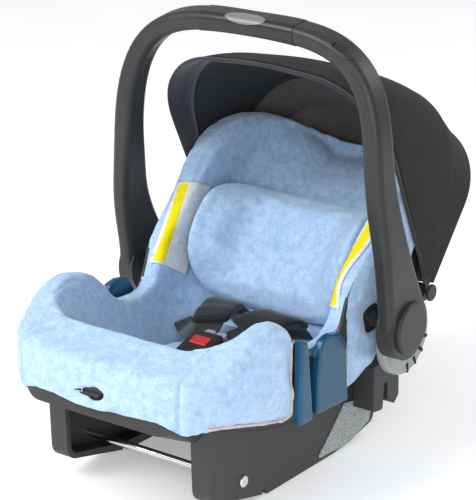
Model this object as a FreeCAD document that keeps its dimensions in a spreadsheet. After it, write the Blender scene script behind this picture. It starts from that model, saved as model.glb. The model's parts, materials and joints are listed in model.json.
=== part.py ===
import FreeCAD, Part
import math
import os
import Sketcher

# Infant car seat. Millimetres, +Z up, the feet end at -Y, the head end at +Y, and the
# mirror plane at X = 0. The origin is on the floor under the middle of the seat's box.

os.makedirs("parts", exist_ok=True)
doc = FreeCAD.newDocument("infant_car_seat")
Vector = FreeCAD.Vector
SIDES = (("left", -1), ("right", 1))

DRIVING = {
    # shell and what it stands on
    "shell_wall": 3.5,
    "shell_half_width": 156.0,
    "rim_gap": 8.0,
    "cover_wrap": 6.0,
    "cover_lining": 8.0,
    "foam_gap": 0.5,
    "rail_outer_x": 120.0,
    "rail_depth": 25.0,
    "rail_wall": 3.0,
    "latch_bar_radius": 4.5,
    "latch_bar_height": 36.0,
    "front_bar_y": -192.0,
    "rear_bar_y": 66.0,
    "screw_head_radius": 7.5,
    "screw_head_length": 3.5,
    # side fittings
    "guide_inner_x": 156.0,
    "guide_depth": 12.0,
    "hook_depth": 30.0,
    "patch_depth": 1.2,
    "ring_axis_y": 64.0,
    "ring_axis_z": 158.0,
    "ring_radius": 52.0,
    "ring_hub_radius": 25.5,
    "ring_neck_radius": 15.0,
    "ring_plate": 14.0,
    "ring_gap": 0.7,
    "ring_depth": 29.3,
    # handle
    "hub_axis_y": 26.5,
    "hub_axis_z": 184.5,
    "handle_tilt": 8.8,
    "grip_half_length": 70.0,
    "pivot_radius": 6.0,
    "pivot_clearance": 0.05,
    "hub_cap_radius": 33.0,
    "hub_cap_depth": 6.0,
    "plunger_radius": 4.0,
    "plunger_circle": 20.0,
    "track_depth": 3.0,
    # canopy
    "canopy_axis_y": 21.5,
    "canopy_axis_z": 114.0,
    "canopy_pivot_y": 145.0,
    "canopy_pivot_z": 187.0,
    "canopy_thickness": 2.4,
    "hoop_band": 17.0,
    "hoop_thickness": 2.5,
    "canopy_fold": 26.0,
    "knob_radius": 11.0,
    "knob_depth": 3.6,
    # headrest, harness
    "back_angle": 50.0,
    "headrest_length": 168.0,
    "strap_width": 38.0,
    "strap_thickness": 2.0,
    "shoulder_pad_width": 50.0,
    "shoulder_pad_thickness": 9.0,
    "buckle_width": 44.0,
}

sheet = doc.addObject("Spreadsheet::Sheet", "sizes")
sheet.Label = "sizes"
for row, (alias, value) in enumerate(DRIVING.items(), start=1):
    sheet.set(f"A{row}", alias)
    sheet.set(f"B{row}", str(value))
    sheet.setAlias(f"B{row}", alias)
doc.recompute()


def size(alias):
    return float(sheet.get(alias))


# ---------------------------------------------------------------- outlines and bodies

def rounded_outline(corners, place):
    """Edges of a closed outline. Each corner is (u, v, radius); place turns (u, v) into a point."""
    count = len(corners)
    cuts = []
    for index, (u, v, radius) in enumerate(corners):
        here = Vector(u, v, 0)
        back = Vector(*corners[index - 1][:2], 0) - here
        ahead = Vector(*corners[(index + 1) % count][:2], 0) - here
        half_turn = back.getAngle(ahead) / 2
        back.normalize()
        ahead.normalize()
        if radius <= 0:
            cuts.append((here, None, here))
            continue
        reach = radius / math.tan(half_turn)
        inward = back + ahead
        inward.normalize()
        middle = here + inward * (radius / math.sin(half_turn) - radius)
        cuts.append((here + back * reach, middle, here + ahead * reach))
    edges = []
    for index, (start, middle, end) in enumerate(cuts):
        if middle is not None:
            edges.append(Part.Arc(place(start.x, start.y), place(middle.x, middle.y), place(end.x, end.y)))
        after = cuts[(index + 1) % count][0]
        if (after - end).Length > 1e-6:
            edges.append(Part.LineSegment(place(end.x, end.y), place(after.x, after.y)))
    return edges


def in_sketch(u, v):
    return Vector(u, v, 0)


def origin_plane(body, role):
    return next(feature for feature in body.Origin.OriginFeatures if feature.Role == role)


def new_body(label):
    body = doc.addObject("PartDesign::Body", label)
    body.Label = label
    return body


def new_sketch(body, name, role, height=0.0):
    sketch = body.newObject("Sketcher::SketchObject", name)
    sketch.AttachmentSupport = [(origin_plane(body, role), "")]
    sketch.MapMode = "FlatFace"
    if isinstance(height, str):
        sketch.setExpression(".AttachmentOffset.Base.z", height)
    else:
        sketch.AttachmentOffset = FreeCAD.Placement(Vector(0, 0, height), FreeCAD.Rotation())
    return sketch


def add_outline(sketch, corners):
    for edge in rounded_outline(corners, in_sketch):
        sketch.addGeometry(edge, False)
    doc.recompute()


def add_circle(sketch, u, v, radius):
    """A circle whose radius is bound to a cell when radius is an expression."""
    bound = isinstance(radius, str)
    index = sketch.addGeometry(Part.Circle(Vector(u, v, 0), Vector(0, 0, 1), 5.0 if bound else radius), False)
    if bound:
        constraint = sketch.addConstraint(Sketcher.Constraint("Radius", index, 5.0))
        sketch.setExpression(f"Constraints[{constraint}]", radius)
    doc.recompute()


def pad(body, sketch, length, backwards=False):
    feature = body.newObject("PartDesign::Pad", sketch.Name + "_pad")
    feature.Profile = sketch
    feature.Reversed = backwards
    if isinstance(length, str):
        feature.setExpression("Length", length)
    else:
        feature.Length = length
    sketch.Visibility = False
    doc.recompute()
    return feature


def pocket(body, sketch, length, backwards=False):
    """Cut a pocket, and stop if it points away from the solid."""
    before = body.Shape.Volume
    feature = body.newObject("PartDesign::Pocket", sketch.Name + "_pocket")
    feature.Profile = sketch
    feature.Reversed = backwards
    if isinstance(length, str):
        feature.setExpression("Length", length)
    else:
        feature.Length = length
    doc.recompute()
    if body.Shape.Volume > before - 1:
        raise RuntimeError(f"{feature.Name} cut nothing")
    return feature


def side_pad(label, side, corners, inner_x, depth):
    """A plate cut from the side view, from inner_x outwards by depth, on the left or the right."""
    body = new_body(label)
    inner = f"{side} * ({inner_x})" if isinstance(inner_x, str) else side * inner_x
    sketch = new_sketch(body, label + "_outline", "YZ_Plane", inner)
    add_outline(sketch, corners)
    pad(body, sketch, depth, backwards=side < 0)
    return body


def solid_feature(label, shape, placement=None):
    """A free-form piece made with Part's own functions."""
    feature = doc.addObject("Part::Feature", label)
    feature.Label = label
    feature.Shape = shape
    if placement is not None:
        feature.Placement = placement
    return feature


def prism(corners, low, high, axis):
    """A prism between two levels of X or Z, from a side-view or plan outline."""
    if axis == "x":
        place = lambda u, v: Vector(low, u, v)
        along = Vector(high - low, 0, 0)
    else:
        place = lambda u, v: Vector(u, v, low)
        along = Vector(0, 0, high - low)
    wire = Part.Wire([edge.toShape() for edge in rounded_outline(corners, place)])
    return Part.Face(wire).extrude(along)


def side_curve_region(points, closing, half_width=260.0):
    """A prism across the seat, bounded by a smooth side-view curve and straight closing lines."""
    start = [Vector(-half_width, y, z) for y, z in points]
    curve = Part.BSplineCurve()
    curve.interpolate(start)
    edges = [curve.toShape()]
    corners = [start[-1]] + [Vector(-half_width, y, z) for y, z in closing] + [start[0]]
    for near, far in zip(corners, corners[1:]):
        edges.append(Part.LineSegment(near, far).toShape())
    return Part.Face(Part.Wire(edges)).extrude(Vector(2 * half_width, 0, 0))


# ---------------------------------------------------------------- the tub's surfaces

WALL_TOP = 430.0
# y, underside height, half width of the flat bottom, half width at the bulge, height of the bulge
SHELL_STATIONS = (
    (-340.0, 140.0, 96.0, 146.0, 190.0),
    (-250.0, 98.0, 101.0, 151.0, 165.0),
    (-160.0, 66.0, 104.0, 152.0, 140.0),
    (-60.0, 52.0, 104.0, 153.0, 126.0),
    (30.0, 66.0, 100.0, 154.0, 140.0),
    (110.0, 116.0, 98.0, 154.0, 195.0),
    (190.0, 178.0, 96.0, 154.0, 260.0),
    (270.0, 234.0, 94.0, 154.0, 310.0),
    (345.0, 284.0, 90.0, 152.0, 350.0),
)
# The same for the space the child lies in, inside the cover.
BOWL_STATIONS = (
    (-340.0, 226.0, 86.0, 128.0, 262.0),
    (-255.0, 202.0, 88.0, 130.0, 236.0),
    (-170.0, 142.0, 88.0, 130.0, 190.0),
    (-90.0, 104.0, 88.0, 130.0, 158.0),
    (-20.0, 92.0, 88.0, 131.0, 156.0),
    (50.0, 138.0, 88.0, 132.0, 200.0),
    (120.0, 202.0, 88.0, 132.0, 262.0),
    (190.0, 254.0, 76.0, 132.0, 318.0),
    (260.0, 292.0, 62.0, 128.0, 350.0),
    (345.0, 318.0, 50.0, 122.0, 376.0),
)
# Plan outline of the shell, from the front round the right side to the head end.
SHELL_PLAN = ((0, -324), (72, -320), (128, -300), (149, -260), (155, -195), (156, -90), (156, 20),
              (156, 120), (151, 200), (134, 260), (100, 301), (52, 320), (0, 324))
# Side view of the rim, which dips for the lap belt.
RIM = ((-400, 168), (-330, 196), (-285, 206), (-246, 226), (-205, 239), (-165, 230), (-134, 206),
       (-110, 184), (-78, 178), (-50, 186), (-24, 236), (20, 282), (70, 336), (112, 360), (160, 367),
       (215, 362), (275, 334), (330, 292), (380, 245))
HEM = ((-400, 150), (-320, 140), (-240, 133), (-180, 119), (-133, 108), (-90, 100), (-30, 97), (10, 92),
       (45, 94), (66, 108), (84, 150), (112, 220), (150, 270), (210, 296), (270, 290), (330, 262), (400, 236))


def flared_section(y, floor, bottom, bulge, bulge_height, inset):
    """A flat-bottomed section with bulging walls, moved inwards by inset."""
    top = size("shell_half_width") if bulge > 140 else bulge + 10.0
    corners = (
        (top - inset, WALL_TOP, 0.0),
        (bulge - inset, bulge_height, 45.0),
        (bottom - inset, floor + inset, 26.0),
        (-bottom + inset, floor + inset, 26.0),
        (-bulge + inset, bulge_height, 45.0),
        (-top + inset, WALL_TOP, 0.0),
    )
    edges = rounded_outline(corners, lambda u, v: Vector(u, y, v))
    return Part.Wire([edge.toShape() for edge in edges])


def tub(stations, plan, inset):
    """The solid inside a tub's surface, up to the top of its walls."""
    loft = Part.makeLoft([flared_section(*station, inset) for station in stations], True, False)
    half_width = size("shell_half_width")
    length = 324.0
    scaled = [(x * (1 - inset / half_width), y * (1 - inset / length)) for x, y in plan]
    right = [Vector(x, y, 0) for x, y in scaled]
    left = [Vector(-x, y, 0) for x, y in reversed(scaled[1:-1])]
    outline = Part.BSplineCurve()
    outline.interpolate(right + left, PeriodicFlag=True)
    column = Part.Face(Part.Wire([outline.toShape()])).extrude(Vector(0, 0, WALL_TOP + 20))
    return loft.common(column)


def below_rim(drop):
    points = [(y, z - drop) for y, z in RIM]
    return side_curve_region(points, ((380, -40), (-400, -40)))


def above_hem(drop):
    points = [(y, z - drop) for y, z in HEM]
    return side_curve_region(points, ((400, 470), (-400, 470)))


def bowl_plan(margin):
    return tuple((x * (1 - margin / 156), y * (1 - margin / 324)) for x, y in SHELL_PLAN)


shell_outside = tub(SHELL_STATIONS, SHELL_PLAN, 0.0)
lining = size("cover_lining")
bowl_inside = tub(BOWL_STATIONS, bowl_plan(22.0), 0.0)
bowl_outside = tub(BOWL_STATIONS, bowl_plan(22.0), -lining)
foam_inside = tub(BOWL_STATIONS, bowl_plan(22.0), -lining - 0.6)


# ---------------------------------------------------------------- shell, foam, cover

def hub_hole(side, radius):
    start = Vector(side * 144, size("hub_axis_y"), size("hub_axis_z"))
    return Part.makeCylinder(radius, 120, start, Vector(side, 0, 0))


def harness_slots():
    """Slots through shell and foam for the shoulder straps, in the back."""
    slots = []
    for side in (-1, 1):
        slots.append(Part.makeBox(44, 90, 8, Vector(side * 45 - 22, 100, 176)))
    return slots


def adjuster_passage():
    """The way of the adjuster strap out through the front lip."""
    return Part.makeBox(34, 60, 6, Vector(-17, -345, 159))


def adjuster_recess():
    """The hollow in the foam under the front panel, for the harness adjuster."""
    return Part.makeBox(46, 46, 40, Vector(-23, -298, 152))


def make_shell():
    shell = shell_outside.cut(tub(SHELL_STATIONS, SHELL_PLAN, size("shell_wall")))
    shell = shell.common(below_rim(size("rim_gap")))
    bolt_hole_radius = size("pivot_radius") + size("pivot_clearance")
    bolt_holes = [hub_hole(side, bolt_hole_radius) for side in (-1, 1)]
    return solid_feature("seat_shell", shell.cut(harness_slots() + [adjuster_passage()] + bolt_holes))


def make_foam():
    inset = size("shell_wall") + size("foam_gap")
    foam = tub(SHELL_STATIONS, SHELL_PLAN, inset).cut(foam_inside)
    foam = foam.common(below_rim(size("rim_gap") + 1.0))
    hollows = harness_slots() + [adjuster_passage(), adjuster_recess()]
    return solid_feature("foam_liner", foam.cut(hollows + [hub_hole(side, 16) for side in (-1, 1)]))


def make_cover():
    wrap = tub(SHELL_STATIONS, SHELL_PLAN, -size("cover_wrap")).common(above_hem(0.0))
    whole = wrap.fuse(bowl_outside).common(below_rim(0.0)).cut(bowl_inside)
    core = tub(SHELL_STATIONS, SHELL_PLAN, -0.6).common(below_rim(size("rim_gap") - 0.6)).cut(bowl_outside)
    cover = whole.cut(core).cut(adjuster_passage())
    for side in (-1, 1):
        guide_gap = Part.makeBox(60, 116, 140, Vector(min(side * 155.5, side * 215.5), -144, 80))
        cover = cover.cut(guide_gap)
        cover = cover.cut(hub_hole(side, size("ring_neck_radius") + 2))
    return solid_feature("seat_cover", cover)


shell_feature = make_shell()
foam_feature = make_foam()
cover_feature = make_cover()


# ---------------------------------------------------------------- rocker rails and latch bars

RAIL = ((-262, 125, 4), (-257, 28, 20), (-152, 3.1, 0), (-147, 11, 0), (-141, 0, 0), (20, 0, 300),
        (98, 15, 12), (104, 125, 4))
RAIL_HOLLOW = ((-255, 121, 3), (-250, 33, 15), (-152, 13, 0), (-138, 12, 0), (20, 5, 280), (93, 19, 8),
               (98, 121, 3))


def make_rail(name, side):
    """A side web with a rim round it, open towards the middle of the seat."""
    inner = "sizes.rail_outer_x - sizes.rail_depth"
    body = side_pad(f"rail_{name}_blank", side, RAIL, inner, "sizes.rail_depth")
    hollow = new_sketch(body, f"rail_{name}_hollow", "YZ_Plane", f"{side} * ({inner})")
    add_outline(hollow, RAIL_HOLLOW)
    pocket(body, hollow, "sizes.rail_depth - sizes.rail_wall", backwards=side > 0)
    holes = new_sketch(body, f"rail_{name}_bar_holes", "YZ_Plane", f"{side} * sizes.rail_outer_x")
    for bar_y in (size("front_bar_y"), size("rear_bar_y")):
        add_circle(holes, bar_y, size("latch_bar_height"), "sizes.latch_bar_radius + 0.05")
    pocket(body, holes, "sizes.rail_wall + 1", backwards=side < 0)
    fitted = doc.addObject("Part::Cut", f"rocker_rail_{name}")
    fitted.Base = body
    fitted.Tool = shell_keep_out
    fitted.Label = f"rocker_rail_{name}"
    return fitted


def make_latch_bar(label, bar_y):
    body = new_body(label)
    sketch = new_sketch(body, label + "_section", "YZ_Plane", "-sizes.rail_outer_x")
    add_circle(sketch, bar_y, size("latch_bar_height"), "sizes.latch_bar_radius")
    pad(body, sketch, "2 * sizes.rail_outer_x")
    return body


def make_screw_heads():
    """A domed head on each end of the front latch bar, outside the rails."""
    heads = []
    for side in (-1, 1):
        base = Vector(side * (size("rail_outer_x") + 0.2), size("front_bar_y"), size("latch_bar_height"))
        radius = size("screw_head_radius")
        disc = Part.makeCylinder(radius, size("screw_head_length"), base, Vector(side, 0, 0))
        rim = max(disc.Edges, key=lambda edge: edge.CenterOfMass.x * side)
        heads.append(disc.makeFillet(2.0, [rim]))
    return solid_feature("latch_bar_screws", Part.makeCompound(heads))


cover_keep_out = tub(SHELL_STATIONS, SHELL_PLAN, -size("cover_wrap") - 0.5).common(above_hem(0.6))
shell_keep_out = solid_feature("shell_keep_out", tub(SHELL_STATIONS, SHELL_PLAN, -0.3).fuse(cover_keep_out))
kept = [shell_feature, foam_feature, cover_feature]
for side_name, side_sign in SIDES:
    kept.append(make_rail(side_name, side_sign))
kept.append(make_latch_bar("front_latch_bar", size("front_bar_y")))
kept.append(make_latch_bar("rear_latch_bar", size("rear_bar_y")))
kept.append(make_screw_heads())

# ---------------------------------------------------------------- belt guides, hooks, patches, rings

GUIDE = ((-141, 208, 5), (-139, 104, 9), (-36, 100, 9), (-44, 178, 8), (-60, 196, 8), (-80, 196, 8),
         (-92, 178, 12), (-112, 176, 12), (-127, 200, 8))
HOOK = ((44, 112, 3), (46, 50, 4), (68, 47, 4), (70, 82, 2), (78, 82, 2), (80, 55, 4), (96, 46, 4),
        (106, 56, 4), (104, 112, 3))
PATCH = ((-34, 6, 3), (38, 3, 30), (86, 18, 6), (91, 50, 4), (26, 62, 4), (-7, 30, 8))


def make_guide(name, side):
    body = side_pad(f"belt_guide_{name}", side, GUIDE, "sizes.guide_inner_x", "sizes.guide_depth")
    slot = new_sketch(body, f"belt_guide_{name}_slot", "YZ_Plane",
                      f"{side} * (sizes.guide_inner_x + sizes.guide_depth)")
    add_outline(slot, ((-90, 240, 0), (-90, 118, 3.9), (-82, 118, 3.9), (-82, 240, 0)))
    pocket(body, slot, "sizes.guide_depth - 3", backwards=side < 0)
    return body


def make_hook(name, side):
    blank = side_pad(f"hook_{name}_blank", side, HOOK, "sizes.rail_outer_x + 1.8", "sizes.hook_depth")
    fitted = doc.addObject("Part::Cut", f"rear_belt_hook_{name}")
    fitted.Base = blank
    fitted.Tool = shell_keep_out
    fitted.Label = f"rear_belt_hook_{name}"
    return fitted


def make_ring(name, side):
    """A round plate on a neck behind the hub, with four slots low at the back and the lock's round track."""
    body = new_body(f"adapter_ring_{name}")
    centre_y = size("ring_axis_y")
    centre_z = size("ring_axis_z")
    hub_y = size("hub_axis_y")
    hub_z = size("hub_axis_z")
    inner = f"{side} * (sizes.shell_half_width + sizes.ring_gap)"
    outer = f"{side} * (sizes.shell_half_width + sizes.ring_gap + sizes.ring_depth)"
    rounds = (("neck", hub_y, hub_z, "sizes.ring_neck_radius", inner, "sizes.ring_depth", side < 0),
              ("hub", hub_y, hub_z, "sizes.ring_hub_radius", outer, "sizes.ring_plate", side > 0),
              ("disc", centre_y, centre_z, "sizes.ring_radius", outer, "sizes.ring_plate", side > 0))
    for part, y, z, radius, height, length, backwards in rounds:
        sketch = new_sketch(body, f"ring_{name}_{part}", "YZ_Plane", height)
        add_circle(sketch, y, z, radius)
        pad(body, sketch, length, backwards=backwards)
    bore = new_sketch(body, f"ring_{name}_bore", "YZ_Plane", outer)
    add_circle(bore, hub_y, hub_z, "sizes.pivot_radius + sizes.pivot_clearance")
    pocket(body, bore, "sizes.ring_depth + 1", backwards=side < 0)
    slots = new_sketch(body, f"ring_{name}_slots", "YZ_Plane", outer)
    for turn in (-84, -62, -40, -18):
        across = Vector(math.cos(math.radians(turn)), math.sin(math.radians(turn)), 0)
        along = Vector(-across.y, across.x, 0)
        corners = []
        for reach, offset in ((39, -2.5), (39, 2.5), (48, 2.5), (48, -2.5)):
            point = Vector(centre_y, centre_z, 0) + across * reach + along * offset
            corners.append((point.x, point.y, 0.8))
        add_outline(slots, corners)
    pocket(body, slots, 10.0, backwards=side < 0)
    track = new_sketch(body, f"ring_{name}_track", "YZ_Plane", outer)
    for edge in ("sizes.plunger_radius + 0.3", "-(sizes.plunger_radius + 0.3)"):
        add_circle(track, hub_y, hub_z, f"sizes.plunger_circle + {edge}")
    pocket(body, track, "sizes.track_depth", backwards=side < 0)
    return body


def make_pivot_bolt(name, side):
    """The steel bolt that the handle turns on, with its head inside the shell's wall."""
    body = new_body(f"pivot_bolt_{name}")
    shank = new_sketch(body, f"bolt_{name}_shank", "YZ_Plane", f"{side} * (sizes.shell_half_width - 7)")
    add_circle(shank, size("hub_axis_y"), size("hub_axis_z"), "sizes.pivot_radius")
    pad(body, shank, 58.0, backwards=side < 0)
    head = new_sketch(body, f"bolt_{name}_head", "YZ_Plane", f"{side} * (sizes.shell_half_width - 7)")
    add_circle(head, size("hub_axis_y"), size("hub_axis_z"), 10.0)
    pad(body, head, 3.0, backwards=side > 0)
    return body


for side_name, side_sign in SIDES:
    kept.append(make_guide(side_name, side_sign))
    kept.append(make_hook(side_name, side_sign))
    patch_label = f"side_patch_{side_name}"
    kept.append(side_pad(patch_label, side_sign, PATCH, "sizes.rail_outer_x + 0.2", "sizes.patch_depth"))
    kept.append(make_ring(side_name, side_sign))
    kept.append(make_pivot_bolt(side_name, side_sign))

# ---------------------------------------------------------------- handle

# Right half of the arch's centre line, hub to top: across, up, depth, thickness, bow to the front.
ARCH_STATIONS = (
    (199.75, 0.0, 82.0, 22.5, 0.0),
    (199.75, 36.0, 74.0, 22.5, 2.0),
    (199.8, 68.0, 63.0, 23.6, 8.0),
    (198.4, 110.0, 52.0, 25.0, 13.5),
    (193.2, 155.0, 45.0, 26.0, 15.0),
    (188.9, 200.0, 40.0, 26.0, 13.5),
    (184.9, 241.6, 38.5, 26.0, 8.0),
    (176.3, 281.2, 37.5, 26.0, 0.0),
    (157.9, 315.7, 37.0, 26.0, -8.0),
    (127.8, 339.6, 36.5, 25.5, -13.0),
    (88.5, 352.0, 36.0, 25.0, -15.0),
    (44.2, 356.6, 35.5, 24.0, -14.0),
    (0.0, 357.5, 35.0, 23.0, -13.0),
)
# Side view of the seam between the arch's front and rear mouldings.
ARCH_SEAM = ((0, -90), (0, 34), (-8, 68), (-13.5, 110), (-15, 155), (-13.5, 200), (-8, 242), (0, 281),
             (8, 316), (13, 345), (14, 430))
SLEEVE_SINK = 2.6
INLAY_REACH = 29.0
BUTTON_STATION = 9


def arch_line():
    """Stations of the whole arch from the left hub to the right hub."""
    left = [(-station[0], *station[1:]) for station in ARCH_STATIONS[:-1]]
    return left + list(reversed(ARCH_STATIONS))


def arch_tangent(stations, index):
    before = stations[max(index - 1, 0)]
    after = stations[min(index + 1, len(stations) - 1)]
    if index in (0, len(stations) - 1):
        return Vector(0, 0, 1 if index == 0 else -1)
    along = Vector(after[0] - before[0], 0, after[1] - before[1])
    return along.normalize()


def arch_solid(inset):
    """The arch moved inwards by inset, in the handle's own upright frame."""
    stations = arch_line()
    wires = []
    for index, (x, z, depth, thick, bow) in enumerate(stations):
        along = arch_tangent(stations, index)
        outwards = Vector(-along.z, 0, along.x)
        half_depth = depth / 2 - inset
        half_thick = thick / 2 - inset
        corner = 0.72 * half_thick
        outline = ((-half_depth, -half_thick, corner), (half_depth, -half_thick, corner),
                   (half_depth, half_thick, corner), (-half_depth, half_thick, corner))
        middle = Vector(x, -bow, z)
        edges = rounded_outline(outline, lambda u, v: middle + Vector(0, u, 0) + outwards * v)
        wires.append(Part.Wire([edge.toShape() for edge in edges]))
    return Part.makeLoft(wires, True, False)


def slab_x(low, high):
    return Part.makeBox(high - low, 400, 900, Vector(low, -200, -200))


def hub_disc(side, inset):
    """The round end of an arm."""
    start = Vector(side * (188.5 + inset), 0, 0)
    return Part.makeCylinder(41.0 - inset, 22.5 - 2 * inset, start, Vector(side, 0, 0))


handle_place = FreeCAD.Placement(
    Vector(0, size("hub_axis_y"), size("hub_axis_z")), FreeCAD.Rotation(Vector(1, 0, 0), size("handle_tilt")))

arch_outside = arch_solid(0.0)
arch_hollow = arch_solid(5.0)


def surface_frame(station, lean):
    """A placement on the arch: X along the arch, Z outwards and leaning to the front by lean degrees."""
    stations = arch_line()
    index = len(stations) - 1 - station
    along = arch_tangent(stations, index)
    outwards = Vector(-along.z, 0, along.x)
    lean_angle = math.radians(lean)
    out = outwards * math.cos(lean_angle) + Vector(0, -1, 0) * math.sin(lean_angle)
    across = out.cross(along)
    middle = Vector(stations[index][0], -stations[index][4], stations[index][1])
    return FreeCAD.Placement(middle, FreeCAD.Rotation(along, across, out, "XYZ"))


def oval_column(half_long, half_short, low, high, placement):
    ellipse = Part.Ellipse(Vector(0, 0, low), half_long, half_short)
    column = Part.Face(Part.Wire([ellipse.toShape()])).extrude(Vector(0, 0, high - low))
    column.Placement = placement
    return column


def rounded_column(half_long, half_short, corner, low, high, placement):
    outline = ((-half_long, -half_short, corner), (half_long, -half_short, corner),
               (half_long, half_short, corner), (-half_long, half_short, corner))
    edges = rounded_outline(outline, lambda u, v: Vector(u, v, low))
    column = Part.Face(Part.Wire([edge.toShape() for edge in edges])).extrude(Vector(0, 0, high - low))
    column.Placement = placement
    return column


BUTTON_LEAN = 42.0
button_place = surface_frame(BUTTON_STATION, BUTTON_LEAN)
inlay_place = surface_frame(len(ARCH_STATIONS) - 1, 48.0)


def beside_seam(side):
    """The space before or behind the seam between the arch's two mouldings."""
    points = [(y + side * 0.03, z) for y, z in ARCH_SEAM]
    return side_curve_region(points, ((side * 300, 430), (side * 300, -90)))


def make_handle_shells():
    """Front and rear mouldings of the arch, hollow, with bosses for the pivot bolts."""
    whole = arch_outside.fuse([hub_disc(-1, 0.0), hub_disc(1, 0.0)])
    hollow = arch_hollow.fuse([hub_disc(-1, 4.0), hub_disc(1, 4.0)])
    arch = whole.cut(hollow)
    for side in (-1, 1):
        start = Vector(side * 188.5, 0, 0)
        boss = Part.makeCylinder(11.0, 22.5, start, Vector(side, 0, 0))
        arch = arch.fuse(boss)
        bore_start = Vector(side * 186.5, 0, 0)
        bore_radius = size("pivot_radius") + size("pivot_clearance")
        arch = arch.cut(Part.makeCylinder(bore_radius, 21.0, bore_start, Vector(side, 0, 0)))
        guide_start = Vector(side * 186, 0, size("plunger_circle"))
        arch = arch.cut(Part.makeCylinder(size("plunger_radius") + 0.05, 12, guide_start, Vector(side, 0, 0)))
    band = size("grip_half_length")
    groove = arch_outside.common(slab_x(-band, band)).cut(arch_solid(SLEEVE_SINK))
    arch = arch.cut(groove)
    arch = arch.cut(rounded_column(8.4, 5.4, 2.6, 2.0, 30.0, button_place))
    front = arch.common(beside_seam(-1))
    rear = arch.common(beside_seam(1))
    return [solid_feature("handle_front_shell", front, handle_place),
            solid_feature("handle_rear_shell", rear, handle_place)]


def make_grip_sleeve():
    band = size("grip_half_length") - 0.3
    sleeve = arch_solid(-0.7).common(slab_x(-band, band)).cut(arch_solid(SLEEVE_SINK - 0.1))
    recess = oval_column(INLAY_REACH + 0.3, 8.8, 0.0, 30.0, inlay_place).cut(arch_solid(0.6))
    return solid_feature("grip_sleeve", sleeve.cut(recess), handle_place)


def make_inlay():
    plate = arch_solid(-1.0).cut(arch_solid(0.5))
    plate = plate.common(oval_column(INLAY_REACH, 8.5, 0.0, 30.0, inlay_place))
    return solid_feature("grip_inlay", plate, handle_place)


def make_bezel():
    plate = arch_solid(-1.2).cut(arch_solid(-0.1))
    plate = plate.common(oval_column(23.0, 11.5, 0.0, 30.0, button_place))
    plate = plate.cut(rounded_column(8.6, 5.6, 2.7, 0.0, 30.0, button_place))
    return solid_feature("button_bezel", plate, handle_place)


def make_handle_button():
    button = rounded_column(8.2, 5.2, 2.4, 2.5, 16.5, FreeCAD.Placement())
    top = [edge for edge in button.Edges if abs(edge.CenterOfMass.z - 16.5) < 1e-3]
    button = button.makeFillet(1.2, top)
    return solid_feature("handle_button", button, handle_place.multiply(button_place))


def make_plunger(name, side):
    """The lock pin in the hub, held in the ring's track."""
    start = Vector(side * 184.0, 0, size("plunger_circle"))
    pin = Part.makeCylinder(size("plunger_radius"), 13.0, start, Vector(side, 0, 0))
    collar = Part.makeCylinder(6.0, 2.0, start + Vector(side * 9.5, 0, 0), Vector(side, 0, 0))
    return solid_feature(f"lock_plunger_{name}", pin.fuse(collar), handle_place)


def make_hub_cap(name, side):
    """The blank oval cap on the outside of the hub."""
    start = Vector(side * 211.2, 0, 0)
    cap = Part.makeCylinder(size("hub_cap_radius"), size("hub_cap_depth"), start, Vector(side, 0, 0))
    outer = max(cap.Edges, key=lambda edge: edge.CenterOfMass.x * side)
    return solid_feature(f"hub_cap_{name}", cap.makeFillet(3.5, [outer]).cut(arch_outside), handle_place)


def run_arcs(points):
    """Straight runs joined by tangent arcs, each as large as its two runs allow."""
    edges = []
    start = points[0]
    for index in range(1, len(points) - 1):
        corner = points[index]
        back = points[index - 1] - corner
        ahead = points[index + 1] - corner
        reach = 0.45 * min(back.Length, ahead.Length)
        half_turn = back.getAngle(ahead) / 2
        radius = reach * math.tan(half_turn)
        back.normalize()
        ahead.normalize()
        inward = (back + ahead).normalize()
        middle = corner + inward * (radius / math.sin(half_turn) - radius)
        entry = corner + back * reach
        leave = corner + ahead * reach
        edges.append(Part.LineSegment(start, entry).toShape())
        edges.append(Part.Arc(entry, middle, leave).toShape())
        start = leave
    edges.append(Part.LineSegment(start, points[-1]).toShape())
    return Part.Wire(edges)


def make_release_cable():
    """The release cable in the arch, from hub to hub behind the button."""
    route = [Vector(x, 6.0 - bow, z) for x, z, depth, thick, bow in arch_line()[1:-1]]
    wire = run_arcs(route)
    start = route[0]
    section = Part.Wire([Part.makeCircle(1.2, start, (route[1] - start).normalize())])
    cable = wire.makePipeShell([section], True, False)
    print("release cable length", round(wire.Length, 1), "volume", round(cable.Volume, 1),
          "section times length", round(math.pi * 1.44 * wire.Length, 1))
    return solid_feature("release_cable", cable, handle_place)


kept += make_handle_shells()
kept.append(make_grip_sleeve())
kept.append(make_inlay())
kept.append(make_bezel())
kept.append(make_handle_button())
kept.append(make_release_cable())
for side_name, side_sign in SIDES:
    kept.append(make_plunger(side_name, side_sign))
    kept.append(make_hub_cap(side_name, side_sign))

# ---------------------------------------------------------------- canopy

# Across, distance from the canopy's axis, corner radius. The first and last corners are the low ones.
CANOPY_OUTLINE = ((-169.5, 118.0, 0.0), (-169.5, 363.8, 105.0), (0.0, 376.8, 400.0), (169.5, 363.8, 105.0),
                  (169.5, 118.0, 0.0))
HOOP_ANGLE = 116.0
RIB_ANGLE = 72.0
HEM_ANGLE = 40.0
PIVOT_TAB = 12.0
RIB_INSET = 3.2
RIB_THICKNESS = 1.8


def canopy_profile(inset):
    """The arch-shaped section across the canopy, as a face to turn about the canopy's axis."""
    corners = []
    for x, reach, radius in CANOPY_OUTLINE:
        inner_x = math.copysign(max(abs(x) - inset, 0.0), x)
        below = 2 * inset if radius == 0.0 else inset
        corners.append((inner_x, reach - below, max(radius - inset, 0.0)))
    axis_y = size("canopy_axis_y")
    axis_z = size("canopy_axis_z")
    edges = rounded_outline(corners, lambda u, v: Vector(u, axis_y, axis_z + v))
    return Part.Face(Part.Wire([edge.toShape() for edge in edges]))


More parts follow.
